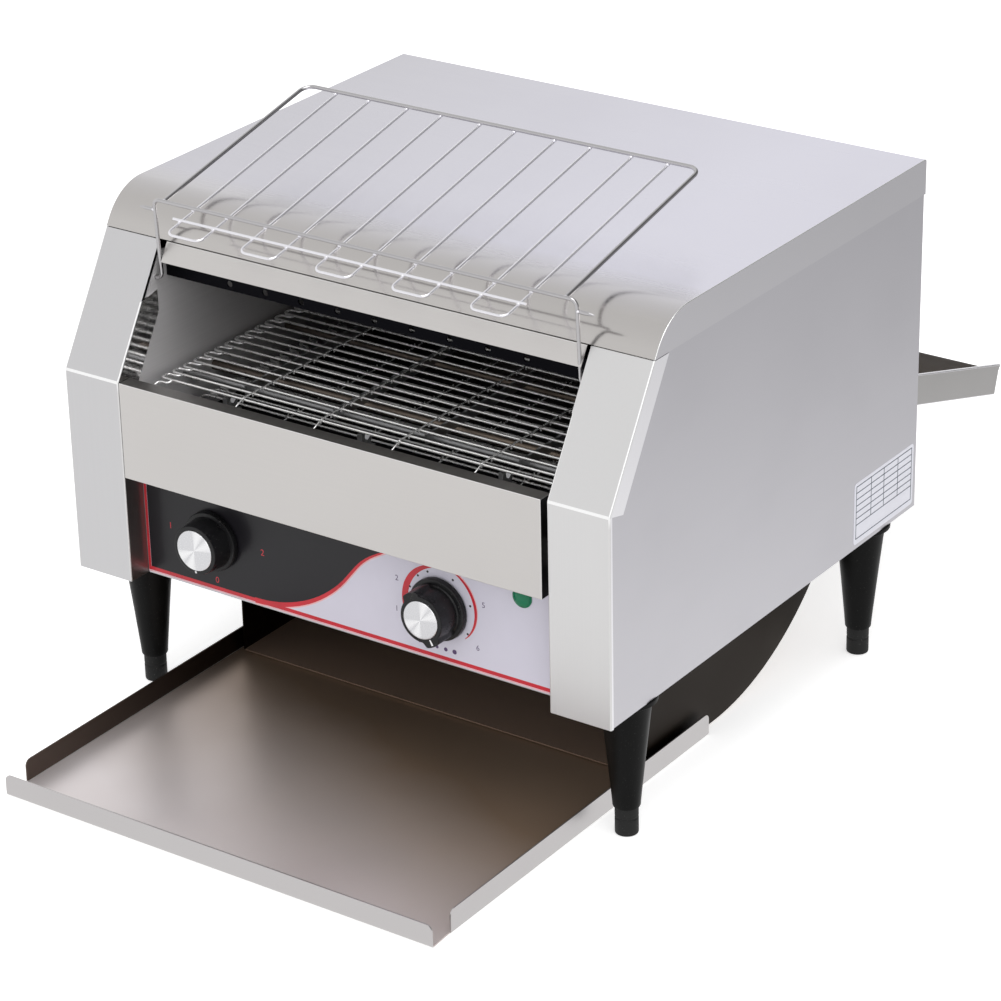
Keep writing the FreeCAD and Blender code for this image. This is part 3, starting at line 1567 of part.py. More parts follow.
# Rear chute: drawn level with its origin at the sill of the rear opening, then tilted down
def build_chute():
    angle = dim.chute_slope_angle
    fall = sine(angle) / cosine(angle)
    side = chute_half_width
    length = dim.chute_length
    wall = dim.chute_wall_height
    gap = dim.chute_panel_gap / cosine(angle) + gauge * fall
    tongue = chute_tongue_half_width
    inside = -dim.chute_tongue_length
    body = new_body("rear_chute")
    pad(body, "flat", ZERO, gauge, [[
        (-tongue, inside),
        (tongue, inside),
        (tongue, gap),
        (side, gap),
        (side, length),
        (-side, length),
        (-side, gap),
        (-tongue, gap),
    ]])
    for direction in SIDES.values():
        pad(body, "side", span(direction, side - gauge, gauge), gauge, [[
            (gap, 0),
            (gap - wall * fall, wall),
            (length, wall),
            (length, 0),
        ]])
        pad(body, "side", span(direction, side - dim.chute_flange, dim.chute_flange), dim.chute_flange, [[
            (gap - (wall - gauge) * fall, wall - gauge),
            (gap - wall * fall, wall),
            (length + dim.chute_flange_overhang, wall),
            (length + dim.chute_flange_overhang, wall - gauge),
        ]])
    lip = dim.chute_lip_height
    pad(body, "front", length - gauge, gauge, [[(-side, 0), (side, 0), (side, lip), (-side, lip)]])
    pad(body, "front", inside, gauge, [[
        (-tongue, -dim.chute_hook),
        (tongue, -dim.chute_hook),
        (tongue, gauge),
        (-tongue, gauge),
    ]])
    place(body, "rear_chute", ZERO, rear_face, dim.chute_sill_height, -angle)


# Blank rating label low on the right side panel
def build_label():
    front = dim.label_front
    low = dim.label_bottom
    label = box((panel_outer, panel_outer + dim.label_gauge), (front, front + dim.label_width),
                (low, low + dim.label_height))
    place(grouped([label]), "rating_label")


# Screw heads: two rows on the rear panel and one on the fascia's ear
def build_screws():
    heads = []
    pitch = (dim.roof_height - dim.screw_first_height - dim.screw_top_margin) / (PANEL_SCREWS - 1)
    for side in SIDES.values():
        across = (half_width - dim.screw_inset) * side
        for count in range(PANEL_SCREWS):
            heads.append(cylinder("y", rear_face, dim.screw_head_height,
                                  (across, dim.screw_first_height + pitch * count),
                                  dim.screw_head_radius))
    ear_middle = column_inner - dim.fascia_right_gap * HALF_SHARE
    heads.append(cylinder("y", dim.fascia_top_flange - gauge - dim.screw_head_height,
                          dim.screw_head_height, (ear_middle, dim.ear_height), dim.ear_screw_radius))
    place(grouped(heads), "casing_screws")


build_hood()
build_side_panels()
build_columns()
build_front_strip()
build_fascia()
build_control_panel()
build_rear_panel()
build_base_rails()
build_liners()
build_reflectors()
build_heaters()
build_belt()
build_belt_shafts()
build_bearings()
build_belt_rails()
build_drive()
build_chain()
build_knobs()
build_switches()
build_lamp()
build_supply()
build_rack()
build_legs()
build_tray()
build_slide()
build_chute()
build_label()
build_screws()

# Every object and every shape is tested before anything is written
doc.recompute()
for item in doc.Objects:
    if "Invalid" in item.State or "Error" in item.State:
        raise ValueError(f"{item.Label} failed: {item.State}")
for item in subparts:
    if item.Shape.isNull() or not item.Shape.isValid():
        raise ValueError(f"{item.Label} has no valid shape")

os.makedirs("parts", exist_ok=True)
for item in subparts:
    item.Shape.exportStep(f"parts/{item.Label}.step")
    print(item.Label, len(item.Shape.Solids), round(item.Shape.Volume))
print(len(subparts), "sub-parts")
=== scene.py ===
# %% [markdown]
# # A conveyor toaster, dressed in Blender
# The CAD model of the machine is the fixed frame of this scene: every sheet, wire and knob already has
# its place and its size there. Blender gives them folds, grain, welds and print. All sizes below are
# written in millimetres as the maker's drawing has them, with Y counted from the front columns.

import math

import bmesh
import bpy
from mathutils import Matrix, Vector
from mathutils.geometry import tessellate_polygon


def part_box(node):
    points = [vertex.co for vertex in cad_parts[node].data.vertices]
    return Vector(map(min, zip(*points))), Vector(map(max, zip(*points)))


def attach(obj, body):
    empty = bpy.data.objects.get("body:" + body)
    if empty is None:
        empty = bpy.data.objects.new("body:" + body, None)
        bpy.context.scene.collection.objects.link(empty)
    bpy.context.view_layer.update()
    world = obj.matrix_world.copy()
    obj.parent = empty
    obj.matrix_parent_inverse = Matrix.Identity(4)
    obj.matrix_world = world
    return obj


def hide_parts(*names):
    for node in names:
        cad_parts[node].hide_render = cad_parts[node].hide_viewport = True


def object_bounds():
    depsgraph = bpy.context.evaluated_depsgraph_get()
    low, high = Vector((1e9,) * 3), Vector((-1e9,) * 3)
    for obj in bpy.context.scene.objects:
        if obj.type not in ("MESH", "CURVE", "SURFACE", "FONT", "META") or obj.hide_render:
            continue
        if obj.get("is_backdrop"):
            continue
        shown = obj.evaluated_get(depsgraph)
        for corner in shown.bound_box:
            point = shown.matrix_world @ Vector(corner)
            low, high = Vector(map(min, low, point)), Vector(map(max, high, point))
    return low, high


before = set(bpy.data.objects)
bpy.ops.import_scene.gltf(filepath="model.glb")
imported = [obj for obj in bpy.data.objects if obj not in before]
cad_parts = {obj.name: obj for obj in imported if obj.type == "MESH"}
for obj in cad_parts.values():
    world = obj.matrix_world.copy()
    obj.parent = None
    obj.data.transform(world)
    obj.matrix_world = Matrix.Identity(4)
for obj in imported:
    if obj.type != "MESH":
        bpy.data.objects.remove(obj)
cad_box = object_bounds()
FRONT_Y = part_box("right_front_column")[0].y
print("CAD nodes:", len(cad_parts), "front columns at y =", round(FRONT_Y, 4))

# %% [markdown]
# The drawing is in millimetres and Blender works in metres. One small function turns a point of the
# drawing into a point of the scene, so that no piece is ever moved by hand afterwards: its place is in
# its vertices.

# %% From the drawing to the scene


def at(across, setback, height):
    """A point of the drawing, in the scene's metres."""
    return Vector((across / 1000, FRONT_Y + setback / 1000, height / 1000))


def mm(length):
    """A length of the drawing in metres."""
    return length / 1000


def add_object(name, data):
    """A new object in the scene."""
    item = bpy.data.objects.new(name, data)
    bpy.context.scene.collection.objects.link(item)
    return item


# %% [markdown]
# The camera stands where the photographer stood: high, to the right of the front. A long lens keeps the
# upright edges nearly parallel. The direction is given by an azimuth and an elevation, and a small roll
# levels the picture as in the photograph.

# %% Camera at the photograph's viewpoint
azimuth, elevation, roll = (math.radians(value) for value in (35.313, 25.2103, -1.2604))
back = Vector((math.sin(azimuth) * math.cos(elevation),
               -math.cos(azimuth) * math.cos(elevation), math.sin(elevation)))
level = (-back).cross(Vector((0, 0, 1))).normalized()
above = level.cross(-back)
right_hand = level * math.cos(roll) + above * math.sin(roll)
upward = above * math.cos(roll) - level * math.sin(roll)
camera_data = bpy.data.cameras.new("camera")
camera_data.sensor_width = 36
camera_data.lens = 130.07
camera = add_object("camera", camera_data)
camera.matrix_world = Matrix((right_hand, upward, back)).transposed().to_4x4()
camera.location = at(1410.36, -1782.24, 1288.06)
bpy.context.scene.camera = camera
bpy.context.scene.view_settings.view_transform = "Standard"
print("camera at", [round(value, 3) for value in camera.location])

# %% [markdown]
# Every finish and every wire below is a tree of nodes. Two functions write them: one adds a node with its
# settings, the other fills inputs, with a plain value, a socket, or the first output of another node.

# %% Writing node trees


def fill(tree, item, values):
    """Give a node's inputs, by name or number, a plain value, a socket or a node's first output."""
    for name, value in values.items():
        value = value.outputs[0] if hasattr(value, "outputs") else value
        if hasattr(value, "is_linked"):
            tree.links.new(value, item.inputs[name])
        else:
            item.inputs[name].default_value = value
    return item


def node(tree, kind, values=(), **settings):
    """Add a node with its settings and its inputs."""
    made = tree.nodes.new(kind)
    for name, value in settings.items():
        setattr(made, name, value)
    return fill(tree, made, dict(values))


def math_node(tree, operation, first, second=None, clamp=False):
    """A Math node on sockets or plain numbers."""
    values = {0: first} if second is None else {0: first, 1: second}
    return node(tree, "ShaderNodeMath", values, operation=operation, use_clamp=clamp).outputs[0]


def mix_colour(tree, share, first, second, mode="MIX"):
    """Mix two colours, each a socket or a plain colour, by a socket or a number."""
    first, second = (value if hasattr(value, "is_linked") else (*value, 1) for value in (first, second))
    return node(tree, "ShaderNodeMix", {0: share, 6: first, 7: second}, data_type="RGBA",
                blend_type=mode).outputs[2]


def span_to(tree, value, low, high, out_low, out_high):
    """Map a value from one range to another, held at the ends."""
    return node(tree, "ShaderNodeMapRange", {0: value, 1: low, 2: high, 3: out_low, 4: out_high}).outputs[0]


def coordinates(tree, vector=None):
    """The three coordinates of a vector, or else of the shaded point in metres."""
    vector = vector or node(tree, "ShaderNodeTexCoord").outputs["Object"]
    return node(tree, "ShaderNodeSeparateXYZ", {0: vector}).outputs


def room_shade(tree, vector, across, along, up, base):
    """Brightness of the room in a direction: a base plus a share of each coordinate."""
    shares = [math_node(tree, "MULTIPLY", part, share)
              for part, share in zip(coordinates(tree, vector), (across, along, up))]
    return math_node(tree, "ADD", math_node(tree, "ADD", math_node(tree, "ADD", *shares[:2]), shares[2]), base)


# %% [markdown]
# Bare steel has hardly any colour of its own: it shows the room. So the room matters as much as the
# metal. The camera sees plain white. Rays that bounce off metal see a white room that grows a little
# darker upwards and has a dark wall behind on the right: only wires and rounded corners turn that way,
# and the dark wall gives them the grey edges that bright wire has. Soft light for everything else comes
# from a white sky, one large lamp overhead and a smaller one above the camera, which draws the folds.

# %% A white room that metal can reflect
SKY_LIGHT = 0.8
world = bpy.data.worlds.new("white_room")
world.use_nodes = True
bpy.context.scene.world = world
room = world.node_tree
room.nodes.clear()
rays = node(room, "ShaderNodeLightPath").outputs
heading = node(room, "ShaderNodeTexCoord").outputs["Generated"]
seen = math_node(room, "MAXIMUM", rays["Is Camera Ray"], rays["Is Transmission Ray"])
behind_right = room_shade(room, heading, 0.55, 0.75, 0.2, 0.0)
mirrored = math_node(room, "MULTIPLY", room_shade(room, heading, -0.12, -0.02, -0.28, 0.98),
                     span_to(room, behind_right, 0.5, 0.75, 1.0, 0.25))
sky = math_node(room, "ADD", math_node(room, "MULTIPLY", rays["Is Glossy Ray"], mirrored),
                math_node(room, "MULTIPLY", math_node(room, "SUBTRACT", 1, rays["Is Glossy Ray"]), SKY_LIGHT))
background = node(room, "ShaderNodeBackground",
                  {"Color": (1, 1, 1, 1), "Strength": math_node(room, "MAXIMUM", sky, seen)})
node(room, "ShaderNodeOutputWorld", {0: background})

# %% [markdown]
# The floor is one large pale sheet. To the camera it adds a little light of its own, so that it meets
# the white of the room without a horizon and still keeps the soft shadow of the machine. Rays that come
# off metal see it as a glowing white table with painted shade: less bright towards the right and the back.

# %% Floor and lamps
FLOOR_HALF = 9
floor_mesh = bpy.data.meshes.new("floor")
floor_mesh.from_pydata([(-FLOOR_HALF, -FLOOR_HALF, 0), (FLOOR_HALF, -FLOOR_HALF, 0),
                        (FLOOR_HALF, FLOOR_HALF, 0), (-FLOOR_HALF, FLOOR_HALF, 0)], [], [range(4)])
floor = add_object("floor", floor_mesh)
floor.location.z = -0.0004
floor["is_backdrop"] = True
paper = bpy.data.materials.new("white_table")
paper.use_nodes = True
tree = paper.node_tree
tree.nodes.clear()
rays = node(tree, "ShaderNodeLightPath").outputs
matt = node(tree, "ShaderNodeBsdfDiffuse", {"Color": (0.85, 0.85, 0.85, 1)})
glow = node(tree, "ShaderNodeEmission", {"Strength": 0.56})
lit = node(tree, "ShaderNodeAddShader", {0: matt, 1: glow})
table = node(tree, "ShaderNodeTexCoord").outputs["Object"]
table_shade = math_node(tree, "MAXIMUM", room_shade(tree, table, -0.35, -0.32, 0, 1.16), 0.6)
mirror_glow = node(tree, "ShaderNodeEmission", {"Strength": math_node(tree, "MINIMUM", table_shade, 1.0)})
for_camera = node(tree, "ShaderNodeMixShader", {0: rays["Is Camera Ray"], 1: matt, 2: lit})
for_metal = node(tree, "ShaderNodeMixShader", {0: rays["Is Glossy Ray"], 1: for_camera, 2: mirror_glow})
node(tree, "ShaderNodeOutputMaterial", {0: for_metal})
floor_mesh.materials.append(paper)


def soft_lamp(name, place_of, aim, width, height, power):
    """A rectangular studio lamp that points at an aim."""
    data = bpy.data.lights.new(name, "AREA")
    data.shape = "RECTANGLE"
    data.size = width
    data.size_y = height
    data.energy = power
    lamp = add_object(name, data)
    lamp.location = place_of
    lamp.rotation_euler = (Vector(aim) - Vector(place_of)).to_track_quat("-Z", "Y").to_euler()
    return lamp


lamps = [soft_lamp("overhead_softbox", (0.35, -0.6, 2.3), (0, 0, 0.2), 1.5, 1.5, 20),
         soft_lamp("camera_side_lamp", (1.5, -1.5, 1.7), (0, 0, 0.25), 1.2, 1.4, 5.6)]
print("lamps:", [lamp.name for lamp in lamps])

# %% [markdown]
# Effects that several finishes share are node groups: the long scratches of brushed sheet, the faint
# clouds that handling leaves, and the fine grain of moulded plastic.
# A group only gives masks and heights. Each material mixes them in its own way.

# %% Shared surface effects


def start_group(name, inputs, outputs):
    """A shader group with named sockets, and the shaded point in it."""
    group = bpy.data.node_groups.new(name, "ShaderNodeTree")
    for label, value in inputs.items():
        kind = "NodeSocketVector" if isinstance(value, tuple) else "NodeSocketFloat"
        group.interface.new_socket(label, in_out="INPUT", socket_type=kind).default_value = value
    for label in outputs:
        group.interface.new_socket(label, in_out="OUTPUT", socket_type="NodeSocketFloat")
    return (group, node(group, "NodeGroupInput").outputs, node(group, "NodeGroupOutput"),
            node(group, "ShaderNodeTexCoord").outputs["Object"])


def noise(tree, vector, scale, detail, roughness=0.5):
    """A noise texture on a vector; the scale is a number or a socket."""
    return node(tree, "ShaderNodeTexNoise", {"Vector": vector, "Scale": scale, "Detail": detail,
                                             "Roughness": roughness}).outputs[0]


brush_grain, entry, leave, where = start_group(
    "brush_grain", {"Stretch": (1, 1, 1), "Cloud Scale": 6.0}, ["Streaks", "Clouds"])
pulled = node(brush_grain, "ShaderNodeVectorMath", {0: where, 1: entry["Stretch"]}, operation="MULTIPLY")
fill(brush_grain, leave, {"Streaks": noise(brush_grain, pulled, 1.0, 4, 0.62),
                          "Clouds": noise(brush_grain, where, entry["Cloud Scale"], 2)})

handling, entry, leave, where = start_group("handling", {"Scale": 14.0}, ["Smudge", "Dust"])
fill(handling, leave, {
    "Smudge": span_to(handling, noise(handling, where, entry["Scale"], 3, 0.55), 0.46, 0.7, 0, 1),
    "Dust": span_to(handling, noise(handling, where, 900, 1), 0.68, 0.78, 0, 1)})

mould_grain, entry, leave, where = start_group("mould_grain", {"Scale": 2500.0}, ["Height", "Sheen Patch"])
fill(mould_grain, leave, {
    "Height": noise(mould_grain, where, entry["Scale"], 2),
    "Sheen Patch": span_to(mould_grain, noise(mould_grain, where, 45, 2), 0.3, 0.7, 0, 1)})
print("groups:", [group.name for group in (brush_grain, handling, mould_grain)])

# %% [markdown]
# Sheet steel gets its look from four things: a base tone, streaks along the brushing direction that
# change both the tone and the gloss, smudges that dull it a little, and folds painted brighter than
# the sheet, as a painted highlight. The folds get a material of their own, because they are faces of
# their own. The stretch of the streaks says which way the sheet was brushed: a small number along the
# brush.

# %% Finishes of bare metal
ALONG_X, ALONG_Y, ALONG_Z, RUBBED = (3, 900, 900), (900, 3, 900), (900, 900, 3), (300, 300, 300)
SCRATCH_DEPTH = 0.00002


def add_group(tree, group, **values):
    """Place a group in a material and set its inputs; an underscore stands for a space."""
    placed = node(tree, "ShaderNodeGroup", node_tree=group)
    return fill(tree, placed, {name.replace("_", " "): value for name, value in values.items()}).outputs


def start_material(name, metallic=0.0, coat=0.0):
    """A new material and its tree and shader, with the constant values on the shader's own sockets."""
    material = bpy.data.materials.new(name)
    material.use_nodes = True
    tree = material.node_tree
    shader = fill(tree, tree.nodes["Principled BSDF"],
                  {"Roughness": 0.4, "Metallic": metallic, "Coat Weight": coat})
    return material, tree, shader


def add_bump(tree, shader, height, depth, strength):
    """Raise the surface a little by a height."""
    bump = node(tree, "ShaderNodeBump", {"Strength": strength, "Distance": depth, "Height": height})
    fill(tree, shader, {"Normal": bump})


def scaled(tone, factor):
    """A colour made lighter or darker."""
    return tuple(min(1.0, value * factor) for value in tone)


def sheet_steel(name, tone, roughness, stretch, grain=0.05, metallic=1.0):
    """Brushed or rolled sheet."""
    material, tree, shader = start_material(name, metallic)
    brushed = add_group(tree, brush_grain, Stretch=stretch, Cloud_Scale=4.0)
    smudge = add_group(tree, handling, Scale=9.0)["Smudge"]
    colour = mix_colour(tree, brushed["Streaks"], scaled(tone, 1 - grain), scaled(tone, 1 + grain))
    cloudy = mix_colour(tree, brushed["Clouds"], scaled(tone, 1 - grain), scaled(tone, 1 + grain * 0.5))
    gloss = span_to(tree, brushed["Streaks"], 0.3, 0.7, roughness - 0.03, roughness + 0.04)
    fill(tree, shader, {
        "Base Color": mix_colour(tree, 0.5, colour, cloudy),
        "Roughness": math_node(tree, "ADD", gloss, math_node(tree, "MULTIPLY", smudge, 0.04))})
    add_bump(tree, shader, brushed["Streaks"], SCRATCH_DEPTH, 0.35)
    return material


front_steel = sheet_steel("front_steel", (0.64, 0.62, 0.605), 0.32, ALONG_X)
# Painted light and shade: the left column is a darker copy of the same steel, the right column a lighter one.
left_column_steel = sheet_steel("left_column_steel", (0.635, 0.63, 0.64), 0.31, ALONG_Z)
right_column_steel = sheet_steel("right_column_steel", (0.715, 0.71, 0.71), 0.31, ALONG_Z)
side_steel = sheet_steel("side_steel", (0.62, 0.61, 0.645), 0.36, ALONG_Y)
skirt_steel = sheet_steel("skirt_steel", (0.66, 0.65, 0.68), 0.34, ALONG_Y)
chute_steel = sheet_steel("chute_steel", (0.45, 0.44, 0.435), 0.33, ALONG_X)
bright_steel = sheet_steel("bright_steel", (0.93, 0.92, 0.95), 0.36, ALONG_Z)
# Painted highlight: the folds are painted brighter than their sheets, in a strong and a soft strength.
fold_steel = sheet_steel("fold_steel", (0.97, 0.97, 0.97), 0.33, RUBBED, 0.02)
soft_fold_steel = sheet_steel("soft_fold_steel", (0.76, 0.75, 0.74), 0.33, RUBBED, 0.02)
polished_steel = sheet_steel("polished_steel", (0.93, 0.92, 0.92), 0.07, (3, 700, 700), 0.03)
edge_steel = sheet_steel("edge_steel", (0.58, 0.56, 0.56), 0.34, ALONG_X)
# Painted shade: near-black end plates for the dark gaps beside the columns.
end_plate_steel = sheet_steel("end_plate_steel", (0.05, 0.05, 0.052), 0.4, ALONG_Z)
plain_steel = sheet_steel("plain_steel", (0.56, 0.56, 0.57), 0.34, (4, 500, 500))
drive_steel = sheet_steel("drive_steel", (0.33, 0.33, 0.335), 0.38, RUBBED)
belt_steel = sheet_steel("belt_steel", (0.96, 0.95, 0.94), 0.26, (90, 400, 400), 0.06, 0.72)
# Painted light and shade: the hairpins get a lighter, less metallic copy of the chrome, the thick frame wire a
# darker copy.
chrome_wire = sheet_steel("chrome_wire", (0.84, 0.83, 0.87), 0.15, (60, 300, 300), 0.03, 0.8)
frame_chrome = sheet_steel("frame_chrome", (0.50, 0.49, 0.50), 0.14, (60, 300, 300), 0.03)
motor_alloy = sheet_steel("motor_alloy", (0.5, 0.51, 0.53), 0.42, (400, 400, 400))
screw_steel = sheet_steel("screw_steel", (0.7, 0.7, 0.7), 0.24, (500, 500, 500))


def spun_alloy(name, centre):
    """Turned aluminium about an axis along Y at (across, height), with two pairs of painted highlight wedges in
    its colour.
    """
    material, tree, shader = start_material(name, 1.0)
    parts = coordinates(tree)
    middle = at(centre[0], 0, centre[1])
    turn = math_node(tree, "ARCTAN2", math_node(tree, "SUBTRACT", parts[2], middle.z),
                     math_node(tree, "SUBTRACT", parts[0], middle.x))
    # Painted highlight: two pairs of lighter wedges at fixed angles, mixed into the colour.
    painted_highlight = 0
    for angle in (28, 74):
        swing = math_node(tree, "COSINE", math_node(tree, "SUBTRACT", turn, math.radians(angle)))
        painted_wedge = span_to(tree, math_node(tree, "ABSOLUTE", swing), 0.93, 1.0, 0, 1)
        painted_highlight = math_node(tree, "ADD", painted_wedge, painted_highlight)
    marks = add_group(tree, brush_grain, Stretch=(900, 900, 900), Cloud_Scale=60.0)["Streaks"]
    share = math_node(tree, "ADD", painted_highlight, span_to(tree, marks, 0.3, 0.7, 0, 0.06), clamp=True)
    fill(tree, shader, {"Base Color": mix_colour(tree, share, (0.70, 0.70, 0.72), (0.92, 0.92, 0.93)),
                        "Roughness": span_to(tree, marks, 0.3, 0.7, 0.2, 0.3)})
    return material


# %% [markdown]
# The hood was pressed over a wide former. The bend was rubbed bright and a little warm by it, and the
# roof kept the soft grey of the rolled sheet. Two materials would show a line where they meet, so one
# material changes with the distance. The same change paints shade on the hood, darker towards its left
# side, and makes the painted highlight of the column folds weaker below the knee. The polished inner
# faces of the columns dull below the mouth in the same way, and turn darker.

# %% Finishes that change along the sheet


def change_along(material, axis, low, high, tone, rougher):
    """Give the sheet another tone and roughness below a distance, with a soft change up to a second."""
    tree = material.node_tree
    shader = tree.nodes["Principled BSDF"]
    low, high = (at(value, value, value)[axis] for value in (low, high))
    kept = span_to(tree, coordinates(tree)[axis], low, high, 0, 1)
    colour = mix_colour(tree, kept, tone, shader.inputs["Base Color"].links[0].from_socket)
    gloss = math_node(tree, "ADD", shader.inputs["Roughness"].links[0].from_socket,
                      span_to(tree, kept, 0, 1, rougher, 0))
    fill(tree, shader, {"Base Color": colour, "Roughness": gloss})


hood_steel = sheet_steel("hood_steel", (0.76, 0.75, 0.835), 0.30, ALONG_X)
# Painted shade: the hood is darker towards its left side.
change_along(hood_steel, 0, -235, 150, (0.62, 0.61, 0.655), 0.0)
change_along(hood_steel, 1, 72, 122, (0.56, 0.54, 0.525), -0.16)
# Painted highlight: the bright folds are painted less bright on the upright corners below the knee.
change_along(fold_steel, 2, 260, 267, (0.74, 0.735, 0.73), 0.0)
change_along(polished_steel, 2, 240, 275, (0.34, 0.32, 0.31), 0.3)
print("hood and column faces finished")

# %% [markdown]
# Steel near the heating tubes doesn't stay grey. Years of heat give it straw, brown and blue films that
# are strongest where it is hottest. Here a distance and a broken edge drive the mix. The same mix also
# paints shade and light on sheets in and under the oven: darker where they lie deeper in shade, lighter
# where little light reaches.

# %% Heat-tinted steel and painted shade


def tint_and_shade_steel(name, cool, hot, roughness, axis, low, high, metallic=1.0, sideways=0.0):
    """Sheet whose tint or painted shade changes along one axis, between two distances in metres, and may
    lean to the right. A dull oxide skin makes it less metallic."""
    material, tree, shader = start_material(name, metallic)
    brushed = add_group(tree, brush_grain, Stretch=(4, 4, 700), Cloud_Scale=9.0)
    parts = coordinates(tree)
    shifted = math_node(tree, "ADD", parts[axis], math_node(tree, "MULTIPLY", brushed["Clouds"], 0.05))
    if sideways:
        shifted = math_node(tree, "ADD", shifted, math_node(tree, "MULTIPLY", parts[0], sideways))
    tint = mix_colour(tree, span_to(tree, shifted, low, high, 0, 1), cool, hot)
    grained = mix_colour(tree, brushed["Streaks"], (0.88, 0.88, 0.88), (1, 1, 1))
    fill(tree, shader, {
        "Base Color": mix_colour(tree, 1.0, tint, grained, "MULTIPLY"),
        "Roughness": span_to(tree, brushed["Clouds"], 0.3, 0.7, roughness - 0.05, roughness + 0.08)})
    add_bump(tree, shader, brushed["Streaks"], SCRATCH_DEPTH, 0.4)
    return material


# Painted light and shade: the liners are painted pale at the front and darker towards the back of the oven.
liner_steel = tint_and_shade_steel("liner_steel", (0.92, 0.90, 0.91), (0.32, 0.31, 0.31), 0.4, 1, -0.24, 0.0, 0.3)
# Painted shade: the reflectors are near-black towards the front of the oven and brown further back.
reflector_steel = tint_and_shade_steel("reflector_steel", (0.006, 0.006, 0.008), (0.10, 0.085, 0.075), 0.5, 1,
                               -0.12, 0.1)
tube_steel = tint_and_shade_steel("tube_steel", (0.20, 0.17, 0.15), (0.30, 0.24, 0.19), 0.4, 0, -0.2, 0.2)
# Painted shade: the slide's side plates and folds are near-black. Its floor is a lighter brown copy, painted
# light.
slide_steel = tint_and_shade_steel("slide_steel", (0.018, 0.012, 0.008), (0.026, 0.018, 0.012), 0.45, 1, -0.1, 0.25)
slide_face = tint_and_shade_steel("slide_face", (0.34, 0.24, 0.18), (0.26, 0.18, 0.13), 0.45, 1, -0.1, 0.25, 0.5)
chute_inside = tint_and_shade_steel("chute_inside", (0.30, 0.25, 0.20), (0.13, 0.085, 0.05), 0.3, 1, 0.24, 0.36)
# The tray is painted darker brown towards the back and the right: partly a heat tint, partly painted shade.
tray_steel = tint_and_shade_steel("tray_steel", (0.86, 0.80, 0.80), (0.34, 0.24, 0.17), 0.36, 1, -0.36, -0.16, 0.6,
                          0.32)
# Painted shade: the tray's left wall is a near-black brown copy of its steel.
tray_wall_steel = tint_and_shade_steel("tray_wall_steel", (0.16, 0.125, 0.105), (0.05, 0.036, 0.028), 0.4, 1, -0.4,
                               -0.1)
print("metals made:", len([m for m in bpy.data.materials if "steel" in m.name]))

# %% [markdown]
# Knobs, legs and film are plastic. Moulded plastic is never perfectly smooth: a fine grain breaks its
# highlights, and its gloss changes in patches. Printed film is flatter and has a clear coat.

# %% Finishes of plastic, rubber, film and ceramic


def moulded(name, tone, roughness, grain_scale=2500.0, depth=0.00003, coat=0.0, dust=0.15, gloss=0.3,
            patchy=1.0):
    """Moulded plastic or rubber."""
    material, tree, shader = start_material(name, coat=coat)
    grain = add_group(tree, mould_grain, Scale=grain_scale)
    specks = add_group(tree, handling, Scale=30.0)["Dust"]
    patch = grain["Sheen Patch"]
    colour = mix_colour(tree, patch, scaled(tone, 1 - 0.1 * patchy), scaled(tone, 1 + 0.12 * patchy))
    fill(tree, shader, {
        "Specular IOR Level": gloss, "Coat Roughness": 0.12,
        "Base Color": mix_colour(tree, math_node(tree, "MULTIPLY", specks, dust), colour, (0.45, 0.44, 0.42)),
        "Roughness": span_to(tree, patch, 0, 1, roughness - 0.05 * patchy, roughness + 0.06 * patchy)})
    add_bump(tree, shader, grain["Height"], depth, 0.5)
    return material


def printed(name, tone, roughness, coat=0.0, dust=0.0, patchy=1.0, grain_scale=700.0):
    """Print and film: moulded plastic with a very shallow grain."""
    return moulded(name, tone, roughness, grain_scale, 0.00001, coat, dust, 0.3, patchy)


knob_plastic = moulded("knob_plastic", (0.008, 0.008, 0.009), 0.30, 1800.0)
leg_plastic = moulded("leg_plastic", (0.005, 0.005, 0.005), 0.38, 1200.0, dust=0.05, gloss=0.1)
foot_rubber = moulded("foot_rubber", (0.01, 0.01, 0.01), 0.6, 1500.0)
switch_plastic = moulded("switch_plastic", (0.03, 0.03, 0.03), 0.5)
white_print = moulded("white_print", (0.86, 0.86, 0.87), 0.4, dust=0.0)
red_print = printed("red_print", (0.60, 0.025, 0.04), 0.32, 0.25, 0.05)
pink_print = printed("pink_print", (0.84, 0.46, 0.48), 0.32, 0.25, 0.05)
black_print = printed("black_print", (0.011, 0.010, 0.013), 0.3, 0.1, 0.02, 0.3)
violet_print = printed("violet_print", (0.11, 0.07, 0.16), 0.35)
silver_film = printed("silver_film", (0.70, 0.68, 0.78), 0.34, 0.1, 0.01, 0.12)
lamp_plastic = moulded("lamp_plastic", (0.0, 0.19, 0.085), 0.22, 900.0, 0.00002, 0.15, 0.02)
label_film = printed("label_film", (0.80, 0.80, 0.87), 0.35, 0.0, 0.02, 0.2, 900.0)
label_ink = printed("label_ink", (0.10, 0.12, 0.15), 0.4, grain_scale=900.0)
ceramic = moulded("ceramic", (0.74, 0.71, 0.66), 0.55, 900.0, 0.00006)
bronze, tree, shader = start_material("bronze", 1.0)
spots = add_group(tree, handling, Scale=60.0)["Smudge"]
fill(tree, shader, {"Base Color": mix_colour(tree, spots, (0.55, 0.38, 0.18), (0.40, 0.26, 0.12)),
                    "Roughness": span_to(tree, spots, 0, 1, 0.3, 0.5)})
print("materials made:", len(bpy.data.materials))

# %% [markdown]
# Every piece goes through the same few steps: make its mesh, finish its folds, give it a material, and
# say which moving body carries it and which CAD solid it stands for.

# %% Making, finishing and mounting a piece


def link_piece(name, mesh, *materials):
    """An object at the origin for a finished mesh."""
    for material in materials:
        mesh.materials.append(material)
    return add_object(name, mesh)


def piece_from(name, shape, *materials):
    """An object at the origin from a finished shape."""
    mesh = bpy.data.meshes.new(name)
    shape.to_mesh(mesh)
    shape.free()
    return link_piece(name, mesh, *materials)


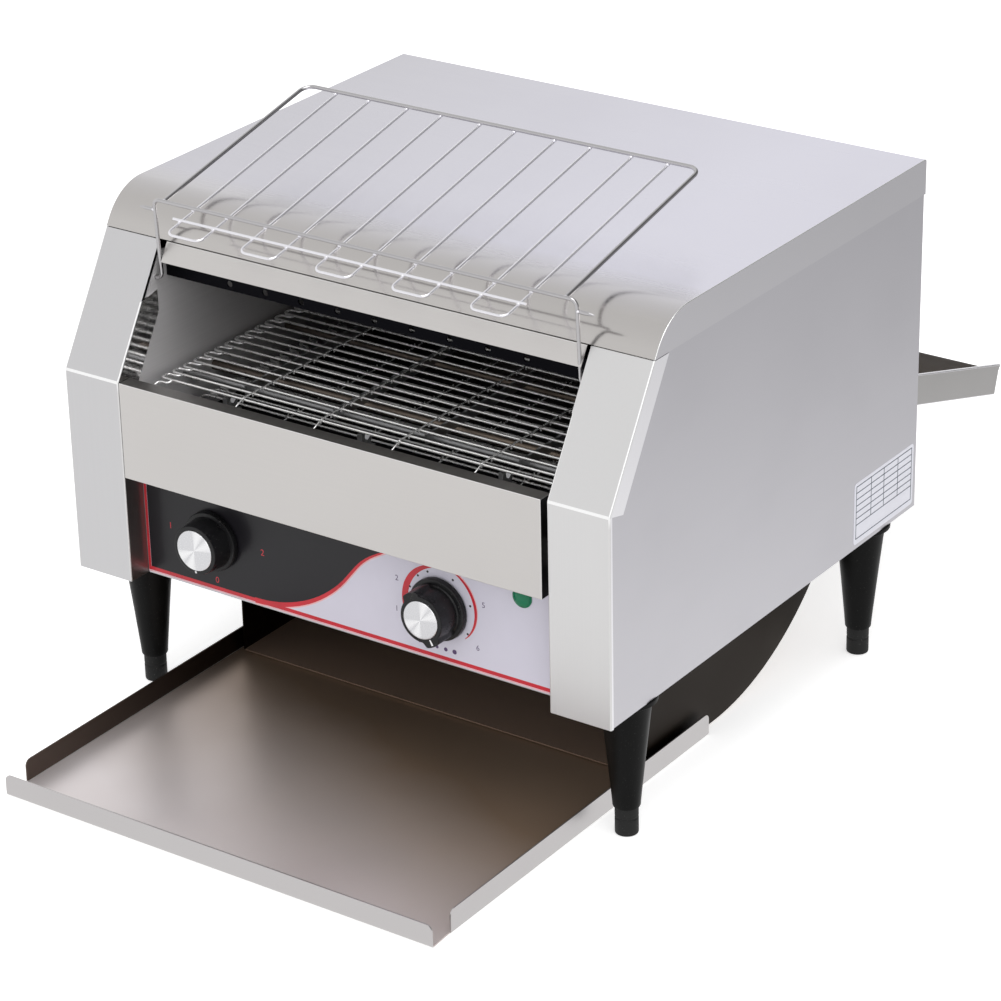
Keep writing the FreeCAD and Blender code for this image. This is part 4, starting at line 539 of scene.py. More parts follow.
def shade(item, angle=38):
    """Smooth shading with sharp edges over an angle in degrees, and flats that stay flat."""
    item.data.shade_smooth()
    item.data.set_sharp_from_angle(angle=math.radians(angle))
    item.modifiers.new("flats", "WEIGHTED_NORMAL").keep_sharp = True
    return item


def bake(item):
    """Turn an object's modifiers into plain mesh."""
    graph = bpy.context.evaluated_depsgraph_get()
    mesh = bpy.data.meshes.new_from_object(item.evaluated_get(graph), preserve_all_data_layers=True,
                                           depsgraph=graph)
    item.modifiers.clear()
    item.data = mesh
    return item


def mount(item, body, slot, *nodes):
    """Let a piece ride on a body and hide the CAD solids that it stands for. The slot is not used."""
    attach(item, body)
    if nodes:
        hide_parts(*nodes)
    return item


def folded_sheet(name, patches, inside, gauge, fold, *materials):
    """A bent sheet from flat patches that share their edges; each patch is (corners, material number).
    The folds are rounded, and get the last material, where there are several. The sheet gets its gauge
    on the side of the inside point."""
    shape = bmesh.new()
    for corners, number in patches:
        shape.faces.new([shape.verts.new(corner) for corner in corners]).material_index = number
    bmesh.ops.remove_doubles(shape, verts=shape.verts, dist=1e-5)
    bmesh.ops.recalc_face_normals(shape, faces=shape.faces)
    largest = max(shape.faces, key=lambda face: face.calc_area())
    if largest.normal.dot(largest.calc_center_median() - inside) < 0:
        bmesh.ops.reverse_faces(shape, faces=shape.faces)
    item = piece_from(name, shape, *materials)
    rounding = item.modifiers.new("folds", "BEVEL")
    rounding.width = mm(fold)
    rounding.segments = 3
    rounding.material = len(materials) - 1
    rounding.limit_method = "ANGLE"
    rounding.angle_limit = math.radians(25)
    rounding.miter_outer = "MITER_ARC"
    thickness = item.modifiers.new("gauge", "SOLIDIFY")
    thickness.thickness = mm(gauge)
    thickness.offset = -1
    thickness.use_even_offset = True
    return shade(bake(item))


def across_line(line, left, right, number=0):
    """Patches between a left and a right, along a line of (setback, height) points."""
    return [([at(left, *near), at(right, *near), at(right, *far), at(left, *far)], number)
            for near, far in zip(line, line[1:])]


def side_patch(across, line, number):
    """A flat patch in a side plane, from (setback, height) points."""
    return [at(across, setback, height) for setback, height in line], number


def both_sides(half, line, number):
    """A flat patch in each of two side planes."""
    return [side_patch(across, line, number) for across in (-half, half)]


def polar(centre, radius, angle):
    """A point on a circle, at an angle in degrees."""
    return (centre[0] + radius * math.cos(math.radians(angle)),
            centre[1] + radius * math.sin(math.radians(angle)))


def arc(centre, radius, start, end, count):
    """Points on an arc from one angle to another."""
    return [polar(centre, radius, start + (end - start) * step / count) for step in range(count + 1)]


def rectangle(u_low, v_low, u_high, v_high):
    """Outline of a rectangle."""
    return [(u_low, v_low), (u_high, v_low), (u_high, v_high), (u_low, v_high)]


def on_axis(axis, along, u, v):
    """A point at a distance along an axis, with its two other coordinates in order."""
    return at(*{"x": (along, u, v), "y": (u, along, v), "z": (u, v, along)}[axis])


def prism(name, outline, near, far, axis, *materials):
    """A closed plate from an outline in millimetres, between two values of one axis."""
    shape = bmesh.new()
    rows = [[shape.verts.new(on_axis(axis, along, u, v)) for u, v in outline] for along in (near, far)]
    caps = tessellate_polygon([[Vector((u, v, 0)) for u, v in outline]])
    for row in rows:
        for corners in caps:
            shape.faces.new([row[corner] for corner in corners])
    for step in range(len(outline)):
        following = (step + 1) % len(outline)
        shape.faces.new([rows[0][step], rows[0][following], rows[1][following], rows[1][step]])
    bmesh.ops.recalc_face_normals(shape, faces=shape.faces)
    return piece_from(name, shape, *materials)


def casing_sheet(name, nodes, patches, inside, fold, *materials):
    """A bent sheet of the casing, one millimetre thick, for a list of CAD nodes."""
    sheet = folded_sheet(name, patches, inside, 1, fold, *materials)
    return mount(sheet, "casing", "casing_steel", *nodes)


# %% [markdown]
# The hood is the largest piece: one sheet that rises along the slope of the front, bends over a wide
# radius into the roof, and folds down at the back and both sides. It could be a box with a bevel, but
# then the wide bend and the narrow side folds would fight. So the profile is drawn first, as a line of
# points, and swept across; the side skirts close it, and the narrow folds come from a bevel.

# %% Hood
CASING_HALF, SIDE_FACE, REAR_FACE, ROOF = 235, 234, 421, 388
HOOD_EDGE = 361
BEND_CENTRE, BEND = (97.18, 343), 45
LEAN, KNEE = 0.6, 268.5


def slope(height):
    """Setback of the sloped front at a height."""
    return LEAN * (height - KNEE)


slope_turn = 90 - math.degrees(math.atan(LEAN))
profile = [(slope(HOOD_EDGE), HOOD_EDGE), *arc(BEND_CENTRE, BEND, 90 + slope_turn, 90, 20), (150, ROOF),
           (285, ROOF), *arc((420, 386), 2, 90, 0, 3), (422, HOOD_EDGE)]
patches = across_line(profile, -CASING_HALF, CASING_HALF) + both_sides(CASING_HALF, profile, 1)
hood = casing_sheet("hood_sheet", ["hood"], patches, at(0, 200, 370), 1.6, hood_steel, skirt_steel, fold_steel)
print("hood faces:", len(hood.data.polygons))

# %% [markdown]
# Each front column is a folded post with a knee: upright below, leaning back above. Its inner edge turns
# in as a return that is cut away behind the mouth, and its outer edge wraps round the side wall, with a
# wider flange along the slope. The wrap and the flange are painted lighter than the rest, as a painted
# highlight, and the left column is painted darker than the right, as painted shade.

# %% Front columns
BASE = 110
MOUTH_HALF = 185
COLUMN_TOP = 360.4
for name, side, finish in (("left", -1, left_column_steel), ("right", 1, right_column_steel)):
    edge = [(0, BASE), (0, KNEE), (slope(320), 320), (55.1, COLUMN_TOP)]
    inner, outer = MOUTH_HALF * side, CASING_HALF * side
    patches = across_line(edge, inner, outer)
    patches.append(side_patch(inner, edge[:3] + [(49.5, 324), (49.5, 307), (20, 258), (20, BASE)], 1))
    # The outer wrap and flange are painted lighter, as a painted highlight.
    patches.append(side_patch(outer, edge + [(69, COLUMN_TOP), (72.9, COLUMN_TOP), (16.3, 264.8), (3, 268),
                                             (3, BASE)], 2))
    casing_sheet(f"{name}_column_sheet", [f"{name}_front_column"], patches, at(210 * side, 30, 200), 1.15,
                 finish, polished_steel, bright_steel, fold_steel)
    cover = prism(f"{name}_column_cover", rectangle(186 * side, 56, SIDE_FACE * side, 69), 359.3, 360.3, "z",
                  finish)
    mount(shade(cover), "casing", "casing_steel")
print("columns made")

# %% [markdown]
# The fascia under the mouth is a channel: a broad face with a flange along its top, one along its foot
# and two small end plates, painted near-black as painted shade. On its right a short ear takes the
# fixing screw, in the dark gap beside the column.

# %% Front fascia and the strip under the hood
FASCIA_FOOT, TOP_FLANGE, FOOT_FLANGE = 194, 12, 19.5
STRIP_TOP = 360.2
left, right = -184.5, 180
face = [(0, FASCIA_FOOT), (0, KNEE), (TOP_FLANGE, KNEE)]
patches = across_line(face, left, right)
patches.append(([at(left, 0, FASCIA_FOOT),
                 *(at(right, setback, FASCIA_FOOT) for setback in (0, TOP_FLANGE, FOOT_FLANGE)),
                 at(left, FOOT_FLANGE, FASCIA_FOOT), at(left, TOP_FLANGE, FASCIA_FOOT)], 0))
patches += [side_patch(end, face + [(TOP_FLANGE, FASCIA_FOOT)], 1) for end in (left, right)]
fascia = casing_sheet("fascia_sheet", ["front_fascia"], patches, at(0, 8, 230), 0.5, front_steel,
                      end_plate_steel, soft_fold_steel)
patches = across_line([(slope(347), 347), (slope(STRIP_TOP), STRIP_TOP), (73, STRIP_TOP)], -178, 182)
casing_sheet("strip_sheet", ["hood_front_strip"], patches, at(0, 70, 340), 0.5, front_steel, soft_fold_steel)
ear = prism("fascia_ear", rectangle(179.4, 215, 184.9, 235), 11, 12, "y", front_steel)
mount(shade(ear), "casing", "casing_steel")
print("fascia faces:", len(fascia.data.polygons))

# %% [markdown]
# Turned pieces such as knobs, caps, legs and feet come from a profile that is spun about an axis. The
# same function serves all of them; a lobe function lets the speed knob bulge where the finger grips it.

# %% Turning pieces on a lathe


def spin(profile, segments, spot, lobe=None):
    """A shape spun from (radius, along) points; the spot function places a point (u, along, v)."""
    shape = bmesh.new()
    rings = []
    for radius, along in profile:
        ring = []
        for step in range(segments if radius else 1):
            angle = 2 * math.pi * step / segments
            reach = radius + (lobe(angle, radius, along) if lobe and radius else 0)
            ring.append(shape.verts.new(spot(reach * math.cos(angle), along, reach * math.sin(angle))))
        rings.append(ring)
    for near, far in zip(rings, rings[1:]):
        for step in range(segments):
            following = (step + 1) % segments
            corners = dict.fromkeys([near[step % len(near)], near[following % len(near)],
                                     far[following % len(far)], far[step % len(far)]])
            if len(corners) > 2:
                shape.faces.new(list(corners))
    bmesh.ops.recalc_face_normals(shape, faces=shape.faces)
    return shape


def turned(name, profile, axis, centre, material, segments=64, lobe=None):
    """A closed solid spun about an axis; the centre is in the two other coordinates."""
    return piece_from(name, spin(profile, segments, lambda u, along, v: on_axis(
        axis, along, centre[0] + u, centre[1] + v), lobe), material)


SELECTOR = (-121, 152.8)
SPEED = (80.5, 152.8)
POINTER = -61
selector = turned("selector_knob_body", [
    (0, -1.7), (15.6, -1.7), (15.9, -2.0), (18.1, -2.0), (18.6, -1.8), (18.8, -1.2), (19.9, 13.2), (20.1, 14.0),
    (21.4, 14.2), (22.5, 14.4), (22.9, 15.0), (23, 16), (23, 18.6), (22.6, 19.0), (3, 19.0), (3, 46), (0, 46)],
    "y", SELECTOR, knob_plastic, 72)
mount(shade(selector, 30), "selector", "knob_plastic", "selector_knob")


def grip(angle, radius, along):
    """Bulge of the speed knob along its pointer, on its body but not on its skirt."""
    if along > 14 or radius < 15.5:
        return 0
    away = abs((math.degrees(angle) - POINTER + 90) % 180 - 90)
    share = max(0.0, min(1.0, (27 - away) / 13))
    return share * share * (3 - 2 * share) * (20.9 - radius)


speed = turned("speed_knob_body", [
    (0, -2.9), (14.3, -2.9), (14.6, -3.2), (16.6, -3.2), (17.3, -2.9), (17.6, -2.2), (18.3, 8), (18.8, 13.4),
    (19.6, 14.2), (22.4, 14.4), (23.2, 14.8), (23.6, 15.8), (23.6, 18.5), (23.2, 19.0), (3, 19.0), (3, 46),
    (0, 46)], "y", SPEED, knob_plastic, 120, grip)
mount(shade(speed, 30), "speed_setting", "knob_plastic", "speed_knob")
print("knobs turned")

# %% [markdown]
# The bright caps are spun aluminium, with tool marks really turned as rings a few hundredths of a
# millimetre deep. The opposed wedges that such marks make of a highlight are painted highlights: the
# finish mixes two pairs of lighter wedges into the colour at fixed angles.

# %% Spun caps and pointer marks
MARK_PITCH = 0.45


def cap_profile(radius, front, rear):
    """Profile of a cap with tool marks on its face and a rounded rim."""
    marks = [(MARK_PITCH * mark, front + (0.05 if mark % 2 else 0))
             for mark in range(1, int((radius - 1) / MARK_PITCH))]
    return [(0, front), *marks, (radius - 0.7, front + 0.02), (radius - 0.25, front + 0.12),
            (radius, front + 0.4), (radius, rear), (0, rear)]


for name, body, centre, radius, front in (("selector", "selector", SELECTOR, 15.6, -2.8),
                                          ("speed", "speed_setting", SPEED, 14.3, -4.0)):
    alloy = spun_alloy(f"{name}_cap_alloy", centre)
    cap = turned(f"{name}_cap_face", cap_profile(radius, front, front + 1.0), "y", centre, alloy, 96)
    mount(shade(cap, 30), body, "knob_cap", f"{name}_cap")

dot = turned("selector_dot", [(0, -2.15), (0.75, -2.15), (0.95, -2.05), (0.95, -1.5), (0, -1.5)], "y",
             (SELECTOR[0], SELECTOR[1] - 17.1), white_print, 20)
mount(shade(dot), "selector", "knob_cap")
ahead = Vector(polar((0, 0), 1, POINTER))
beside = Vector((-ahead.y, ahead.x))
corners = [tuple(Vector(SPEED) + ahead * reach + beside * half)
           for reach, half in ((15.0, -0.5), (19.6, -0.8), (19.6, 0.8), (15.0, 0.5))]
mount(shade(prism("speed_dash", corners, -3.35, -3.0, "y", white_print)), "speed_setting", "knob_cap")

# %% [markdown]
# The pilot lamp is a domed lens. Its profile is a shallow arc with a thin seating ring round it.

# %% Pilot lamp
dome = [(7.3 * math.sin(math.radians(angle)), 19.6 - 3.0 * math.cos(math.radians(angle)))
        for angle in (12, 24, 36, 48, 60, 70, 80)]
lens = turned("lamp_dome", [(0, 16.6), *dome, (7.3, 18.9), (7.9, 19.0), (7.9, 19.6), (5.6, 19.6), (5.6, 21),
                            (0, 21)], "y", (150.5, 180), lamp_plastic, 56)
mount(shade(lens, 30), "casing", "lamp_green", "lamp_lens")
print("lamp made")

# %% [markdown]
# The control panel carries a printed film: a silver field on the right, a black field on the left, a
# red stripe that sweeps between them, and a red border. Print could be an image, but an image has one
# resolution and needs a file. Here each colour is a plate a few hundredths of a millimetre thick, cut
# from curves. Words that such panels carry are left off; the dials get plain numbers.

# %% Printed film of the control panel
FILM, FILM_TOP, FILM_HALF = 19.6, 193.4, 184.4
SUNK = 0.01


def print_on(item, *nodes):
    """Mount a printed plate on the casing."""
    return mount(shade(item), "casing", "overlay_film", *nodes)


def printed_field(name, outline, depth, material):
    """Print a flat field whose back is sunk a little into the film."""
    return print_on(prism(name, outline, FILM - depth, FILM + SUNK, "y", material))


def printed_shape(name, first_side, second_side, depth, material):
    """Print the field between two sides, cut off at the top of the film."""
    outline = [(u, min(v, FILM_TOP)) for u, v in first_side + second_side[::-1]]
    return print_on(prism(name, outline, FILM - depth, FILM, "y", material))


def ribbon(name, line, widths, shift, depth, material):
    """A flat stripe along a line whose width runs from a first value to a last; the shift moves it
    sideways by shares of its width."""
    left_side, right_side = [], []
    for step, spot in enumerate(line):
        along = (Vector(line[min(step + 1, len(line) - 1)]) - Vector(line[max(step - 1, 0)])).normalized()
        normal = Vector((-along.y, along.x))
        width = widths[0] + (widths[1] - widths[0]) * step / (len(line) - 1)
        centre = Vector(spot) + normal * width * shift
        left_side.append(tuple(centre + normal * width / 2))
        right_side.append(tuple(centre - normal * width / 2))
    return printed_shape(name, left_side, right_side, depth, material)


sweep = [*arc((-85, 224), 110, -90, -42, 16), *arc((54.3, 126), 60, 140, 120, 5), (51.3, FILM_TOP)]
film = prism("film_base", rectangle(-FILM_HALF, 111, FILM_HALF, FILM_TOP), FILM, 19.99, "y", silver_film)
print_on(film, "panel_overlay")
black = [(-181.8, 115.5), *[(u - 0.6, max(v, 115.5)) for u, v in sweep if v > 114.7], (-181.8, FILM_TOP)]
printed_field("black_field", black, 0.03, black_print)
ribbon("sweep_pale", sweep, (3.0, 1.6), -0.55, 0.04, pink_print)
ribbon("sweep_red", sweep, (4.2, 1.5), 0.0, 0.055, red_print)
border = [(-FILM_HALF, 112.6), (FILM_HALF, 112.6), (FILM_HALF, 115.6), (-182.0, 115.6), (-182.0, FILM_TOP),
          (-FILM_HALF, FILM_TOP)]
printed_field("border_red", border, 0.05, red_print)
printed_field("border_pale", rectangle(-FILM_HALF, 111.5, FILM_HALF, 112.3), 0.05, pink_print)


def crescent(name, outer, inner, start, end, depth, material):
    """A ring section round the speed knob whose ends run to thin points; outer and inner are (start,
    middle, end) radii."""
    sides = []
    for radii in (outer, inner):
        side = []
        for share in (step / 40 for step in range(41)):
            reach = radii[0] * (1 - share) ** 2 + radii[1] * (2 * share * (1 - share)) + radii[2] * share ** 2
            side.append(polar(SPEED, reach, start + (end - start) * share))
        sides.append(side)
    return printed_shape(name, *sides, depth, material)


def printed_dot(name, spot, radius, material, segments):
    """A round dot of print."""
    return print_on(turned(name, [(0, FILM - 0.06), (radius, FILM - 0.06), (radius, FILM), (0, FILM)], "y",
                           spot, material, segments))


crescent("scale_left", (32.4, 33.2, 31.6), (27.4, 27.0, 30.6), 196, 92, 0.05, red_print)
crescent("scale_right", (33.8, 33.6, 28.2), (33.0, 29.6, 27.8), 74, -42, 0.05, red_print)
crescent("scale_right_pale", (34.8, 34.4, 28.6), (33.8, 33.6, 28.2), 72, -38, 0.03, pink_print)
for number, angle in enumerate((159, 132, 111, 64.5, 17.6, -31.6), start=1):
    printed_dot(f"scale_tick_{number}", polar(SPEED, 27.2, angle), 0.9, black_print, 16)
for number in range(5):
    printed_dot(f"level_dot_{number + 1}", (62 + 7.5 * number, 121.3), 0.7 + 0.28 * number, violet_print, 20)


def numeral(text, across, height, size, material):
    """A plain numeral as a thin plate on the film."""
    curve = bpy.data.curves.new("numeral", "FONT")
    curve.body = text
    curve.size = mm(size)
    curve.extrude = mm(0.02)
    curve.align_x = "CENTER"
    curve.align_y = "CENTER"
    curve.resolution_u = 4
    helper = add_object("numeral", curve)
    mesh = bpy.data.meshes.new_from_object(helper.evaluated_get(bpy.context.evaluated_depsgraph_get()))
    bpy.data.objects.remove(helper)
    mesh.transform(Matrix.Translation(at(across, FILM - 0.02, height)) @ Matrix.Rotation(math.pi / 2, 4, "X"))
    shape = bmesh.new()
    shape.from_mesh(mesh)
    bmesh.ops.remove_doubles(shape, verts=shape.verts, dist=1e-7)
    bmesh.ops.recalc_face_normals(shape, faces=shape.faces)
    name = f"numeral_{text}_{round(across)}_{round(height)}".replace("-", "m")
    return print_on(piece_from(name, shape, material))


for text, across, height in (("1", -161, 154), ("2", -76, 154), ("0", -119.5, 120.6)):
    numeral(text, across, height, 7.0, red_print)
for text, angle in (("1", 196), ("2", 160), ("5", 17.6), ("6", -36)):
    numeral(text, *polar(SPEED, 39, angle), 6.0, violet_print)
print("print made")

# %% [markdown]
# Wires are what Geometry Nodes do best. One tree takes a line of straight runs, rounds its corners as a
# bending tool would, and sweeps a round section along it. Every wire of the rack and the belt uses the
# same tree with its own radius and bend. A second kind of tree repeats a piece on a list of points.

# %% Geometry Nodes trees that bend wire and repeat pieces


def start_tree(name, inputs):
    """A geometry tree with named inputs."""
    group = bpy.data.node_groups.new(name, "GeometryNodeTree")
    for label, kind, value in [("Geometry", "Geometry", None), *inputs, ("Material", "Material", None)]:
        socket = group.interface.new_socket(label, in_out="INPUT", socket_type=f"NodeSocket{kind}")
        if value is not None:
            socket.default_value = value
    group.interface.new_socket("Geometry", in_out="OUTPUT", socket_type="NodeSocketGeometry")
    return group, node(group, "NodeGroupInput").outputs


def end_tree(tree, entry, geometry):
    """Realize the instances, set the material and leave the tree."""
    real = node(tree, "GeometryNodeRealizeInstances", {0: geometry})
    finish = node(tree, "GeometryNodeSetMaterial", {"Geometry": real, "Material": entry["Material"]})
    node(tree, "NodeGroupOutput", {0: finish})


def repeat(tree, entry, source, angles, scale=(1, 1, 1)):
    """Put the object of an input on every point, turned by three angles, and leave the tree."""
    piece = node(tree, "GeometryNodeObjectInfo", {"Object": entry[source]}).outputs["Geometry"]
    turn = node(tree, "FunctionNodeEulerToRotation", {0: node(tree, "ShaderNodeCombineXYZ", angles)})
    end_tree(tree, entry, node(tree, "GeometryNodeInstanceOnPoints", {
        "Points": entry["Geometry"], "Instance": piece, "Rotation": turn, "Scale": scale}))


wire_tree, entry = start_tree("bent_wire", [("Wire Radius", "Float", 0.001), ("Bend", "Float", 0.005),
                                            ("Bend Steps", "Int", 6), ("Sides", "Int", 12)])
rounded = node(wire_tree, "GeometryNodeFilletCurve", {
    "Limit Radius": True, "Curve": node(wire_tree, "GeometryNodeMeshToCurve", {0: entry["Geometry"]}),
    "Count": entry["Bend Steps"], "Radius": entry["Bend"]}, mode="POLY")
section = node(wire_tree, "GeometryNodeCurvePrimitiveCircle",
               {"Resolution": entry["Sides"], "Radius": entry["Wire Radius"]})
swept = node(wire_tree, "GeometryNodeCurveToMesh", {"Curve": rounded, "Profile Curve": section,
                                                    "Fill Caps": True})
end_tree(wire_tree, entry, node(wire_tree, "GeometryNodeSetShadeSmooth", {"Geometry": swept}))


def run_tree(item, group, **values):
    """Set a tree's inputs by the socket's identifier, then turn the result into plain mesh."""
    modifier = item.modifiers.new("tree", "NODES")
    modifier.node_group = group
    for socket in group.interface.items_tree:
        name = socket.name.replace(" ", "_")
        if socket.in_out == "INPUT" and name in values:
            modifier[socket.identifier] = values[name]
    return bake(item)


def line_object(name, lines):
    """Straight runs between the points of each line, as a mesh of edges; a line may be one point."""
    points, edges = [], []
    for line in lines:
        edges += [(len(points) + step, len(points) + step + 1) for step in range(len(line) - 1)]
        points += line
    mesh = bpy.data.meshes.new(name)
    mesh.from_pydata(points, edges, [])
    return link_piece(name, mesh)


def wire(name, lines, radius, bend, material, sides=12, steps=6):
    """Bent wires along lines of points; the radius and the bend are in millimetres."""
    return run_tree(line_object(name, lines), wire_tree, Wire_Radius=mm(radius), Bend=mm(bend),
                    Bend_Steps=steps, Sides=sides, Material=material)


# %% [markdown]
# The feed rack is bent from two thicknesses of chromed wire: a thick one for the arms, the crossbar and
# the frame, and a thin one for the hairpins that the bread slides on. The thick wire gets a darker copy
# of the chrome, as painted shade, and the thin one a lighter copy, as painted light. Where two wires
# cross they are spot-welded, and the weld leaves a small bead. The beads are instances of one drop on a
# list of points.

# %% Feed rack
ARM_LEAN = math.radians(3.7)
RISE = math.radians(12.57)
ARM_FOOT, ARM, ARM_HALF, PIVOT_END, PIN_AT = (50, 333), 62, 180, 188.5, 54
FRAME_HALF, FRAME_END, TIE_AT = 171, 172.5, -15.5
HAIRPIN_STEP, HAIRPIN_HALF, HAIRPIN_FOOT, HAIRPIN_DROP = 64.5, 15, -32, -2.4


def arm_point(along):
    """Setback and height at a distance up the rack's arms."""
    return ARM_FOOT[0] - along * math.sin(ARM_LEAN), ARM_FOOT[1] + along * math.cos(ARM_LEAN)


def on_arm(across, along):
    """A point in the plane of the rack's arms."""
    return at(across, *arm_point(along))


def on_frame(across, along, rise=0.0):
    """A point in the plane of the rack's frame, which rises towards the back."""
    setback, height = arm_point(ARM)
    return at(across, setback + along * math.cos(RISE) - rise * math.sin(RISE),
              height + along * math.sin(RISE) + rise * math.cos(RISE))


arms = wire("rack_arms", [[on_arm(-PIVOT_END, 0), on_arm(-ARM_HALF, 0), on_arm(-ARM_HALF, ARM),
                           on_arm(ARM_HALF, ARM), on_arm(ARM_HALF, 0), on_arm(PIVOT_END, 0)]], 1.4, 5,
            frame_chrome, 16, 8)
mount(arms, "feed_rack", "rack_wire", "rack_arm_wire")
frame_wire = wire("rack_frame", [[on_frame(-FRAME_HALF, 1.2), on_frame(-FRAME_HALF, FRAME_END),
                                  on_frame(FRAME_HALF, FRAME_END), on_frame(FRAME_HALF, 1.2)]], 1.5, 9,
                  frame_chrome, 16, 10)
mount(frame_wire, "feed_rack", "rack_wire", "rack_frame_wire")
tie = wire("rack_tie", [[on_frame(-150, TIE_AT, -0.7), on_frame(150, TIE_AT, -0.7)]], 1.0, 1, chrome_wire)
mount(tie, "feed_rack", "rack_wire", "rack_tie_wire")
hairpins, beads = [], []
for count in range(5):
    left, right = (HAIRPIN_STEP * (count - 2) + shift for shift in (-HAIRPIN_HALF, HAIRPIN_HALF))
    hairpins.append([on_frame(across, along, HAIRPIN_DROP) for across, along in (
        (left, FRAME_END), (left, HAIRPIN_FOOT), (right, HAIRPIN_FOOT), (right, FRAME_END))])
    for across in (left, right):
        beads += [on_frame(across, 0, -1.7), on_frame(across, 172, -1.7), on_frame(across, TIE_AT, -1.6)]
for side in (-1, 1):
    beads += [on_frame(FRAME_HALF * side, 1.2), on_arm(181 * side, PIN_AT)]
mount(wire("rack_hairpin_wires", hairpins, 1.0, 6, chrome_wire), "feed_rack", "rack_wire", "rack_hairpins")

bead_tree, entry = start_tree("weld_beads", [("Bead Radius", "Float", 0.002)])
drop = node(bead_tree, "GeometryNodeMeshIcoSphere", {"Subdivisions": 3, "Radius": entry["Bead Radius"]})
smooth = node(bead_tree, "GeometryNodeSetShadeSmooth", {"Geometry": drop})
end_tree(bead_tree, entry, node(bead_tree, "GeometryNodeInstanceOnPoints", {
    "Points": entry["Geometry"], "Instance": smooth, "Scale": (1.15, 1.15, 0.85)}))
welds = run_tree(line_object("rack_welds", zip(beads)), bead_tree, Bead_Radius=mm(1.5), Material=chrome_wire)
mount(welds, "feed_rack", "rack_wire")

for name, side in (("left", -1), ("right", 1)):
    blunt = [(radius, along * side) for radius, along in (
        (0, 180.5), (1.4, 180.5), (1.4, 188), (1.2, 190), (0.5, 193.6), (0, 194))]
    pin = turned(f"rack_{name}_pin", blunt, "x", arm_point(PIN_AT), frame_chrome, 16)
    mount(shade(pin, 50), "feed_rack", "rack_wire", *(["rack_stop_pins"] if side > 0 else []))
print("rack beads:", len(beads))

# %% [markdown]
# The belt is sixty cross wires round two shafts. Each wire's ends curl back and hook the next wire, and
# short links on each wire keep the width even. A list of points holds the place of every wire and an
# attribute holds its turn, so one instanced strand follows the whole loop. A strand has few faces,
# because there are sixty of them.

# %% Wire belt
PITCH = 12.0
RUN = 26
BELT_TOP = 259
IDLER, DRIVE = 42, 354
BELT_RADIUS = PITCH / 2 / math.sin(math.radians(22.5))
AXLE_HEIGHT = BELT_TOP - BELT_RADIUS
bars = [(IDLER + PITCH * step, BELT_TOP) for step in range(RUN)]
bars += arc((DRIVE, AXLE_HEIGHT), BELT_RADIUS, 90, -45, 3)
bars += [(DRIVE - PITCH * step, AXLE_HEIGHT - BELT_RADIUS) for step in range(RUN)]
bars += arc((IDLER, AXLE_HEIGHT), BELT_RADIUS, -90, -225, 3)
turns = [math.atan2(following[1] - z, following[0] - y)
         for (y, z), following in zip(bars, bars[1:] + bars[:1])]


def local(*spots):
    """Points of one strand about its own place, from (across, along, rise)."""
    return [[Vector((mm(across), mm(along), mm(rise))) for across, along, rise in spots]]


strand = wire("strand", local((-170, 11, 0), (-170, 8, 0), (-180, 8, 0), (-180, 0, 0), (180, 0, 0),
                              (180, 8, 0), (170, 8, 0), (170, 11, 0)), 1.0, 2.9, belt_steel, 8, 3)
clips = [wire(f"clip_{across}", local((across, -1.6, -1.4), (across, -1.6, 1.5), (across, 13.2, 1.5),
                                      (across, 13.2, -1.2)), 0.65, 1.2, belt_steel, 6, 2)
         for across in (-104, -34, 34, 104)]
belt_tree, entry = start_tree("belt_loop", [("Strand", "Object", None)])
turn_value = node(belt_tree, "GeometryNodeInputNamedAttribute", {"Name": "turn"}, data_type="FLOAT")
repeat(belt_tree, entry, "Strand", {"X": turn_value.outputs["Attribute"]})


def round_the_loop(name, source):
    """Repeat a strand at each of the belt's points."""
    item = line_object(name, zip([at(0, *bar) for bar in bars]))
    item.data.attributes.new("turn", "FLOAT", "POINT").data.foreach_set("value", turns)
    return run_tree(item, belt_tree, Strand=source, Material=belt_steel)


belt = round_the_loop("belt_wires", strand)
mount(belt, "casing", "belt_wire", "wire_belt")
for number, clip in enumerate(clips, start=1):
    mount(round_the_loop(f"belt_links_{number}", clip), "casing", "belt_wire")
for helper in [strand, *clips]:
    bpy.data.objects.remove(helper)
print("belt faces:", len(belt.data.polygons))

# %% [markdown]
# The toast tray is a thin sheet with a lip along the front and a wall along each side. The walls stop
# short of the lip, so the corners stay open and crumbs can be brushed out.

# %% Toast tray
TRAY_HALF, TRAY_FRONT, TRAY_REAR, WALL_FRONT = 188, -146, 201, -124.5


def rounded_outline(corners, steps=5):
    """An outline whose corners (u, v, radius) are rounded where a radius is given."""
    outline = []
    for number, corner in enumerate(corners):
        if len(corner) == 2:
            outline.append(corner)
            continue
        here = Vector(corner[:2])
        before = (Vector(corners[number - 1][:2]) - here).normalized()
        after = (Vector(corners[(number + 1) % len(corners)][:2]) - here).normalized()
        half = before.angle(after) / 2
        reach = corner[2] / math.tan(half)
        centre = here + (before + after).normalized() * (corner[2] / math.sin(half))
        start = here + before * reach - centre
        sweep_angle = start.angle_signed(here + after * reach - centre)
        outline += [tuple(centre + Matrix.Rotation(-sweep_angle * step / steps, 2) @ start)
                    for step in range(steps + 1)]
    return outline


